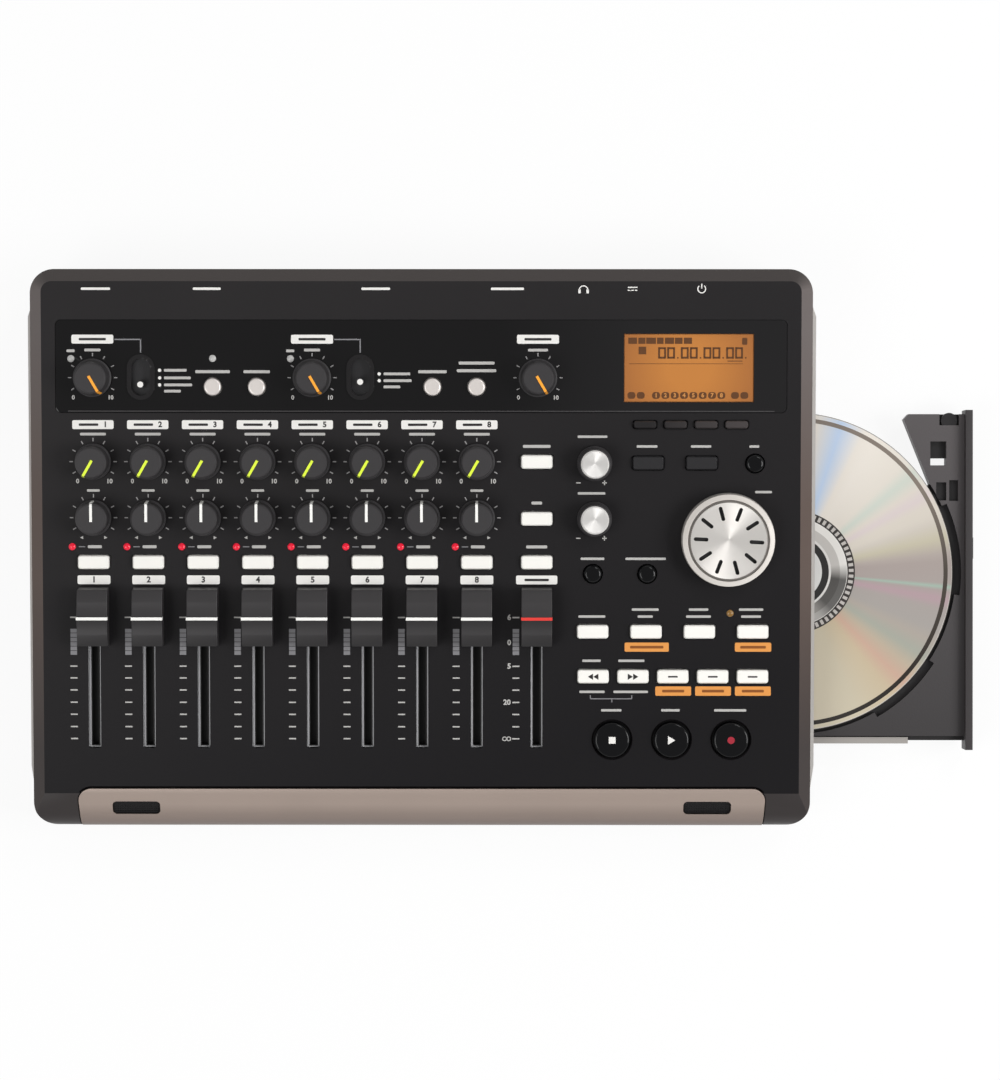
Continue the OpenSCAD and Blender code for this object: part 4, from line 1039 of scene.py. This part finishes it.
for text, u, v in (("6", 10.2, SCALE_V[0]), ("0", 10.2, -35.0), ("5", 10.2, SCALE_V[1]),
                   ("20", 11.0, SCALE_V[4])):
    soft.digits(text, master_u - u, v, 1.9)
for side in (-1, 1):
    loop = (master_u - ENDLESS_DU + 0.8 * side, SCALE_V[-1], LOOP_R)
    for k in range(8):
        soft.line(around(*loop, math.radians(45 * k)), around(*loop, math.radians(45 * k + 45)), HAIR)
print("tracks printed:", len(track_u))

# %% [markdown]
# ### Printing on the right
#
# Plates in orange mark what a key does when it is held with another. A bracket
# joins the two search keys. Plus and minus stand by the tone knobs.

# %% Key printing
ROW1_V, ROW2_V, TRANSPORT_V = -30.8, -47.5, -71.2
keys_u = tone_u - 0.6
ROW1_STEP, ROW2_STEP = 19.8, 14.8
HELD1_V, HELD2_V, HELD2_W = ROW1_V - 5.8, ROW2_V - 5.5, 13.3
row1_u = [keys_u + ROW1_STEP * k for k in range(4)]
row2_u = [keys_u + 0.2 + ROW2_STEP * k for k in range(5)]
orange, brown = Ink(), Ink(INK_T)
for u, width in ((row1_u[1] + 0.3, 16.4), (row1_u[3] + 0.2, 13.5)):
    orange.bar(u, HELD1_V, width, 3.4, 0.5)
    brown.bar(u, HELD1_V, width - 4.0, *FIRM)
for u in row2_u[2:]:
    orange.bar(u + 0.2, HELD2_V, HELD2_W, 3.5, 0.5)
    brown.bar(u + 0.2, HELD2_V, 8.2, *FIRM)
for u, v, width in ((tone_u - 0.8, 41.6, 11.0), (tone_u - 1.1, 20.6, 10.2),
                    (keys_u + 20.0, 38.0, 7.7), (keys_u + 40.0, 38.0, 7.5), (keys_u + 59.7, 38.0, 3.6),
                    (wheel_u + 13.2, 21.1, 6.2), (keys_u - 0.1, -3.7, 8.8), (keys_u + 19.6, -3.7, 15.0),
                    (row1_u[0] - 0.3, -25.2, 10.0), (row1_u[1] - 0.3, -22.6, 10.0),
                    (row1_u[1] - 0.3, -25.2, 5.6),
                    (row1_u[2] - 0.3, -22.6, 7.2), (row1_u[2] - 0.3, -25.2, 9.2),
                    (row1_u[3] - 0.6, -22.6, 9.0), (row1_u[3] - 0.6, -25.2, 7.4),
                    (row2_u[0] - 0.6, -41.7, 6.8), (row2_u[1] - 0.6, -41.7, 9.7),
                    (row2_u[0] - 0.4, -53.3, 9.4), (row2_u[1] - 0.8, -53.3, 12.8),
                    (keys_u + 7.0, -60.2, 7.5), (keys_u + 29.0, -60.2, 6.9), (keys_u + 51.2, -60.2, 12.0)):
    soft.bar(u, v, width, *THIN)
minus_u, plus_u, SIGN_DV, ARM = tone_u - 6.0, tone_u + 3.7, 7.2, 0.85
for v in (high_v - SIGN_DV, low_v - SIGN_DV):
    for u in (minus_u, plus_u):
        soft.line((u - ARM, v), (u + ARM, v), STROKE)
    soft.line((plus_u, v - ARM), (plus_u, v + ARM), STROKE)
BRACKET_V = (-54.6, -55.9, -57.2)
bracket_u = (row2_u[0] - 1.0, row2_u[1] - 0.4)
bracket = [(bracket_u[0], BRACKET_V[0]), (bracket_u[0], BRACKET_V[1]),
           (bracket_u[1], BRACKET_V[1]), (bracket_u[1], BRACKET_V[0])]
for start, end in zip(bracket, bracket[1:]):
    grey.line(start, end, HAIR)
grey.line((keys_u + 7.2, BRACKET_V[1]), (keys_u + 7.2, BRACKET_V[2]), HAIR)
print("key rows at v", ROW1_V, ROW2_V, TRANSPORT_V)

# %% [markdown]
# ### Rear row and inset panel
#
# The row along the rear edge tells where the sockets are: bars over the inputs and
# the line outputs, and the usual signs for headphones, direct current and power.
# The inset panel has its own level, a little below the case, so it gets inks of
# its own.

# %% Rear row and inset printing
REAR_LABEL_V = 96.2
for u, width in ((-120.2, 10.8), (-79.1, 10.3), (-16.7, 10.6), (31.9, 12.2)):
    white.bar(u, REAR_LABEL_V, width, *THIN)
phones_label_u, dc_label_u, power_label_u = 60.0, 78.1, 103.6
white.arc(phones_label_u, REAR_LABEL_V - 0.5, 1.6, 0, 180, STROKE)
for side in (-1, 1):
    white.bar(phones_label_u + side * 1.5, REAR_LABEL_V - 0.9, 0.9, 1.6, 0.3)
white.bar(dc_label_u, REAR_LABEL_V + 0.55, 3.6, STROKE)
for k in (-1, 0, 1):
    white.bar(dc_label_u + 1.3 * k, REAR_LABEL_V - 0.55, 0.9, STROKE)
white.arc(power_label_u, REAR_LABEL_V, 1.45, -230, 50, STROKE)
white.bar(power_label_u, REAR_LABEL_V + 1.0, STROKE, 1.7)
inset_white, inset_grey, inset_soft, inset_marks = (Ink(INSET_W) for _ in range(4))
inset_dark = Ink(INSET_W + INK_T)
INSET_PLATE_V, INSET_PLATE_W, LEAD_W = 77.6, 15.5, 0.45
INPUT_TICK_R, INPUT_FIGURE_DV, ROW_DU = (7.9, 9.1), 7.4, 8.6
for (u, v), label in zip(input_knobs, (6.0, 6.0, 7.4)):
    inset_white.bar(u, INSET_PLATE_V, INSET_PLATE_W, *PLATE)
    inset_dark.bar(u, INSET_PLATE_V, 10.0, *THIN)
    inset_marks.ticks(u, v, *INPUT_TICK_R, STROKE)
    inset_soft.bar(u, v + 10.2, label, *ROUND)
    inset_soft.digits("0", u - 7.2, v - INPUT_FIGURE_DV, 1.5)
    inset_soft.digits("10", u + 6.6, v - INPUT_FIGURE_DV, 1.5)
for (u, _), s in zip(input_knobs, switch_u):
    inset_grey.line((u + 8.2, INSET_PLATE_V - 0.1), (s, INSET_PLATE_V - 0.1), LEAD_W)
    inset_grey.line((s, INSET_PLATE_V + 0.12), (s, SWITCH_V + 9.0), LEAD_W)
    inset_soft.bar(u - 8.1, 73.3, 3.0, *FIRM)
switch_rows = (((66.1, 8.4), (63.3, 9.9), (60.7, 10.4)), ((64.8, 9.9), (62.3, 10.4)))
for s, rows in zip(switch_u, switch_rows):
    for v, width in rows:
        inset_white.dot(s + 7.0, v, 0.62)
        inset_soft.bar(s + ROW_DU + width / 2, v, width, *FIRM)
    inset_soft.bar(s + ROW_DU + 3.1, rows[-1][0] - 2.3, 6.2, *FIRM)
for u, v, width in ((round_key_u[0], 65.6, 12.8), (round_key_u[1], 65.6, 9.8), (round_key_u[2], 65.6, 10.6),
                    (round_key_u[3], 68.8, 13.3), (round_key_u[3], 66.0, 14.6)):
    inset_soft.bar(u, v, width, *BOLD)
inset_u, inset_v, _ = span("inset_panel")
# Painted highlight: a pale line along the front edge of the inset panel.
painted_edge_highlight = Ink(INSET_W)
painted_edge_highlight.bar(sum(inset_u) / 2, inset_v[0] + 0.5, inset_u[1] - inset_u[0] - 9, 0.3)
TRIM_CORNER, SEAM_OUT, SEAM_W = 4.8, 0.65, 0.5
seam = Ink()
corner_u, corner_v = trim_span[0][1] - TRIM_CORNER, trim_span[1][1] - TRIM_CORNER
seam.bar(0, corner_v + TRIM_CORNER + SEAM_OUT, 2 * corner_u, SEAM_W)
for side, start in ((-1, 90), (1, 40)):
    seam.arc(side * corner_u, corner_v, TRIM_CORNER + SEAM_OUT, start, start + 50, SEAM_W)

# %% [markdown]
# Each ink becomes one piece that rides on the case. A line of shadow marks the
# seam round the trim, and a pale line of painted highlight the front edge of the inset panel.

# %% Make the printed pieces
for name, ink, material, slot in (
        ("panel_ink_white", white, ink_white, "white_key"),
        ("panel_ink_soft", soft, ink_soft, "white_key"),
        ("panel_ink_grey", grey, ink_grey, "white_key"),
        ("panel_ink_orange", orange, ink_orange, "white_key"),
        ("panel_ink_marks", marks, ink_mark, "white_key"),
        ("inset_ink_marks", inset_marks, ink_mark, "white_key"),
        ("trim_seam", seam, ink_seam, "dark_key"),
        ("plate_ink_dark", dark, ink_dark, "dark_key"),
        ("plate_ink_brown", brown, ink_brown, "dark_key"),
        ("inset_ink_white", inset_white, ink_white, "white_key"),
        ("inset_ink_grey", inset_grey, ink_grey, "white_key"),
        ("inset_edge_highlight_line", painted_edge_highlight, ink_painted_highlight, "dark_key"),
        ("inset_ink_soft", inset_soft, ink_soft, "white_key"),
        ("inset_ink_dark", inset_dark, ink_dark, "dark_key")):
    print(name, len(ink.make(name, material, "case", slot).data.polygons), "faces")

# %% [markdown]
# ### Signs on the keys
#
# The transport keys carry the usual signs: a square, a triangle and a red dot.
# The two search keys carry double triangles, and each slide switch a white spot.
# These ride on their keys and switches, so they move with them.

# %% Key signs
KEY_TOP, TRANSPORT_TOP = 1.6, 2.0


def arrow_points(u, v, size, way):
    """A triangle that points along u, anticlockwise."""
    tip, back, half = u + way * size * 0.5, u - way * size * 0.5, size * 0.6
    points = [(tip, v), (back, v + half), (back, v - half)]
    return points if way > 0 else points[::-1]


stop_u, play_u, record_u = (u for u, _ in transport_seats)
sign = Ink(TRANSPORT_TOP)
sign.bar(stop_u, TRANSPORT_V, 2.5, 2.5)
sign.make("stop_sign", ink_white, "stop_key", "white_key")
sign = Ink(TRANSPORT_TOP)
sign.shape(arrow_points(play_u, TRANSPORT_V, 2.7, 1))
sign.make("play_sign", ink_white, "play_key", "white_key")
sign = Ink(TRANSPORT_TOP)
sign.dot(record_u, TRANSPORT_V, 1.35)
sign.make("record_sign", ink_red, "record_key", "dark_key")
for name, u in zip(switches, switch_u):
    low, high = span(name)[1]
    sign = Ink(span(name)[2][1])
    sign.dot(u, (low + high) / 2, 1.1)
    sign.make(name + "_mark", ink_white, name, "white_key")
sign = Ink(KEY_TOP)
for u, way in ((row2_u[0], -1), (row2_u[1], 1)):
    for shift in (-1.0, 1.0):
        sign.shape(arrow_points(u + shift, ROW2_V, 1.9, way))
for u in row2_u[2:]:
    sign.bar(u, ROW2_V, 3.6, 0.6, 0.2)
search = sign.make("search_signs", ink_dark, "locate_keys", "dark_key")
print("signs on the search keys:", len(search.data.polygons), "faces")

# %% [markdown]
# ## Fader lines and slot edges
#
# A fader's line is a moulded strip that is pressed over the cap and shows on its
# sides too, so it is a small U of plastic, a trace wider than the cap. Inside
# each slot a pale nylon guide lies on the fader's body, and its arms and its foot
# show as a bright edge.

# %% Fader lines and slot edges
def extrude_outline(name, outline, depth, place, material, body):
    """A prism of an outline in two directions of the panel, made about a place."""
    bm = bmesh.new()
    rings = [[bm.verts.new(place(a, b, side)) for a, b in outline] for side in (-depth / 2, depth / 2)]
    bm.faces.new(rings[1])
    bm.faces.new(rings[0][::-1])
    for k in range(len(outline)):
        n = (k + 1) % len(outline)
        bm.faces.new((rings[0][k], rings[0][n], rings[1][n], rings[1][k]))
    bmesh.ops.recalc_face_normals(bm, faces=bm.faces)
    return make_piece(name, bm, material, body)


LINE_T, LINE_W, LINE_DROP, LINE_GAP = 0.12, 1.1, 2.6, 0.02
cap_u, cap_v, cap_w = span("track_fader_1")
CAP_HALF_W = (cap_u[1] - cap_u[0]) / 2
FADER_V = (cap_v[0] + cap_v[1]) / 2
CAP_TOP = cap_w[1]
for name, u in zip(faders, fader_u):
    a, b = CAP_HALF_W + LINE_GAP, CAP_HALF_W + LINE_T
    low, top = CAP_TOP - LINE_DROP, CAP_TOP + LINE_GAP
    strip = [(-b, low), (-a, low), (-a, top), (a, top), (a, low), (b, low),
             (b, top + LINE_T), (-b, top + LINE_T)]
    extrude_outline(name + "_line", strip, LINE_W, lambda du, w, dv: on_panel(u + du, FADER_V + dv, w),
                    line_red if name == "master_fader" else pointer_white, name)

GUIDE_W, GUIDE_T, GUIDE_HALF_W, GUIDE_FOOT = -2.95, 0.5, 2.15, 0.5
ARM_LEFT_U, ARM_RIGHT_U = -1.55, 1.75
TRAVEL_MM, SLOT_END_MM = 45, 4.0
slot_low, slot_high = FADER_V - TRAVEL_MM - SLOT_END_MM, FADER_V + SLOT_END_MM
guide = [(-GUIDE_HALF_W, slot_low), (GUIDE_HALF_W, slot_low), (GUIDE_HALF_W, slot_high),
         (ARM_RIGHT_U, slot_high), (ARM_RIGHT_U, slot_low + GUIDE_FOOT), (ARM_LEFT_U, slot_low + GUIDE_FOOT),
         (ARM_LEFT_U, slot_high), (-GUIDE_HALF_W, slot_high)]
for name, u in zip(faders, fader_u):
    extrude_outline(name + "_guide", guide, GUIDE_T,
                    lambda du, v, dw: on_panel(u + du, v, GUIDE_W + GUIDE_T / 2 + dw),
                    guide_nylon, "case")
print("fader line at v", round(FADER_V, 2), "cap top at", round(CAP_TOP, 2))

# %% [markdown]
# ## What the display shows
#
# The display is a dot-matrix glass. It shows a clock in outlined figures, a title
# bar, a stop sign, a thin rule and a row of small boxes, one for each track. The
# figures are bars of the same width, as segments are.

# %% Display figures
lcd_u, lcd_v, _ = middle("lcd_module")
LCD_FACE_W = -0.6
glass = Ink(LCD_FACE_W)


def clock_figure(ink, u, v, width, height, stroke):
    """A nought made of four strokes."""
    ink.bar(u, v + height / 2, width, stroke)
    ink.bar(u, v - height / 2, width, stroke)
    ink.bar(u - width / 2, v, stroke, height + stroke)
    ink.bar(u + width / 2, v, stroke, height + stroke)


CLOCK_U, PAIR_STEP, CLOCK_V = lcd_u - 8.25, 8.37, lcd_v + 5.5
FIGURE_SIZE, FIGURE_DU, POINT_MM = (2.2, 3.5, 0.72), 1.66, 0.55
for pair in range(4):
    u = CLOCK_U + PAIR_STEP * pair
    for side in (-1, 1):
        clock_figure(glass, u + FIGURE_DU * side, CLOCK_V, *FIGURE_SIZE)
    glass.bar(u + 4.15, lcd_v + 3.7, POINT_MM, POINT_MM)
glass.bar(lcd_u - 17.2, lcd_v + 6.4, 2.8, 2.8)
for k, width in enumerate((3.2, 2.6, 3.6, 2.4, 3.4, 2.8, 3.0)):
    glass.bar(lcd_u - 20.8 + 3.4 * k, lcd_v + 10.0, width, 2.3)
glass.bar(lcd_u + 20.6, lcd_v + 9.8, 1.9, 2.6, 0.4)
glass.bar(lcd_u + 17.0, lcd_v + 2.5, 5.6, 0.3)
glass.bar(lcd_u - 1.0, lcd_v + 1.5, 42.0, 0.18)
BOX_V, BOX_STEP = lcd_v - 10.2, 3.45
boxes = [lcd_u - 21.2 + BOX_STEP * k + (2.2 if k > 1 else 0.0) + (1.6 if k > 9 else 0.0) for k in range(12)]
for u in boxes:
    glass.bar(u, BOX_V, 2.9, 2.5, 1.0)
figures = Ink(LCD_FACE_W + INK_T)
for number, u in enumerate(boxes[2:10], 1):
    figures.digits(str(number), u, BOX_V, 1.5)
figures.make("display_figures", ink_lit, "case", "lcd_glass")
segments = glass.make("display_segments", ink_segment, "case", "dark_key")
print("display segments:", len(segments.data.polygons), "faces")

# %% [markdown]
# ## Camera
#
# The machine is seen straight from above, from about a metre and a half, so
# that it shows almost no perspective. The lens follows from the scale: at the
# panel a millimetre is 2.7 pixels of a frame 1080 pixels high.

# %% Camera
FRAME_H_PX = 1080
CAMERA_MM = (33.1, 4.1, 1435.6)
CAMERA_TILT = (-0.0006, 0.0028, 0.0005)
FOCAL_PX = 3770
SENSOR_MM = 36
lens = bpy.data.cameras.new("camera")
lens.sensor_fit = "VERTICAL"
lens.sensor_height = SENSOR_MM
lens.lens = FOCAL_PX * SENSOR_MM / FRAME_H_PX
lens.clip_end = 20
camera = bpy.data.objects.new("camera", lens)
camera.location = Vector(CAMERA_MM) * MM
camera.rotation_euler = CAMERA_TILT
bpy.context.scene.collection.objects.link(camera)
bpy.context.scene.camera = camera
print("lens", round(lens.lens, 1), "mm")

# %% [markdown]
# ## Floor and light
#
# A pale floor that runs out of the frame, one large soft lamp to the right of the
# machine, a weaker one to the left, and a weak even light from a grey
# ceiling. A small lamp behind the machine puts a glint on the polished keys.
# To the camera, and in reflections, the floor and the walls are mostly
# their own white, so that the soft shadow stays but the ground doesn't grey.

# %% Floor and light
FLOOR_HALF_M, FLOOR_GAP_M, FLOOR_SHARE, CEILING = 3.0, 0.0002, 0.9, 0.40
AIM = Vector((0.03, 0, 0.03))


def seen_share(tree):
    """One for what the camera sees, also in a reflection or through glass."""
    path = add(tree, "LightPath").outputs
    clear = calc(tree, "MAXIMUM", path["Is Glossy Ray"], path["Is Transmission Ray"])
    return calc(tree, "MAXIMUM", path["Is Camera Ray"], clear)


def studio_floor():
    """White floor that keeps a faint shadow."""
    material, tree, _ = new_material("studio_floor")
    share = calc(tree, "MULTIPLY", seen_share(tree), FLOOR_SHARE)
    paper = add(tree, "BsdfDiffuse", Color=linear("#F2F2F2"))
    glow = add(tree, "Emission", Color=(1, 1, 1, 1), Strength=1.0)
    blend = add(tree, "MixShader", _0=share, _1=paper.outputs[0], _2=glow.outputs[0])
    add(tree, "OutputMaterial", _0=blend.outputs[0])
    return material


bm = bmesh.new()
bmesh.ops.create_grid(bm, x_segments=1, y_segments=1, size=FLOOR_HALF_M)
floor_mesh = bpy.data.meshes.new("floor")
bm.to_mesh(floor_mesh)
bm.free()
floor_mesh.materials.append(studio_floor())
floor = bpy.data.objects.new("floor", floor_mesh)
floor.location.z = cad_box[0][2] - FLOOR_GAP_M
bpy.context.scene.collection.objects.link(floor)

world = bpy.data.worlds.new("studio")
bpy.context.scene.world = world
world.use_nodes = True
sky = world.node_tree
sky.nodes.clear()
way = add(sky, "SeparateXYZ", _0=add(sky, "TexCoord").outputs["Generated"])
wall = add(sky, "MapRange", Value=way.outputs[2], _1=0.2, _2=0.6, _3=1.0, _4=0.0)
shown = calc(sky, "MULTIPLY", seen_share(sky), wall.outputs[0])
level = add(sky, "MapRange", Value=shown, _3=CEILING, _4=1.0)
background = add(sky, "Background", Color=(1, 1, 1, 1), Strength=level.outputs[0])
add(sky, "OutputWorld", Surface=background.outputs[0])


def soft_lamp(name, place, size, watts):
    """A square soft lamp that looks at the middle of the machine."""
    light = bpy.data.lights.new(name, "AREA")
    light.size = size
    light.energy = watts
    lamp = bpy.data.objects.new(name, light)
    lamp.location = place
    lamp.rotation_euler = (AIM - Vector(place)).to_track_quat("-Z", "Y").to_euler()
    bpy.context.scene.collection.objects.link(lamp)


soft_lamp("key_lamp", (1.15, -0.12, 1.05), 0.7, 13.5)
soft_lamp("glint_lamp", (0.65, 0.75, 1.15), 0.4, 3)
soft_lamp("fill_lamp", (-0.8, -0.45, 1.3), 0.8, 8)
print("lamps:", len(bpy.data.lights))
bpy.context.scene.view_settings.view_transform = "Standard"
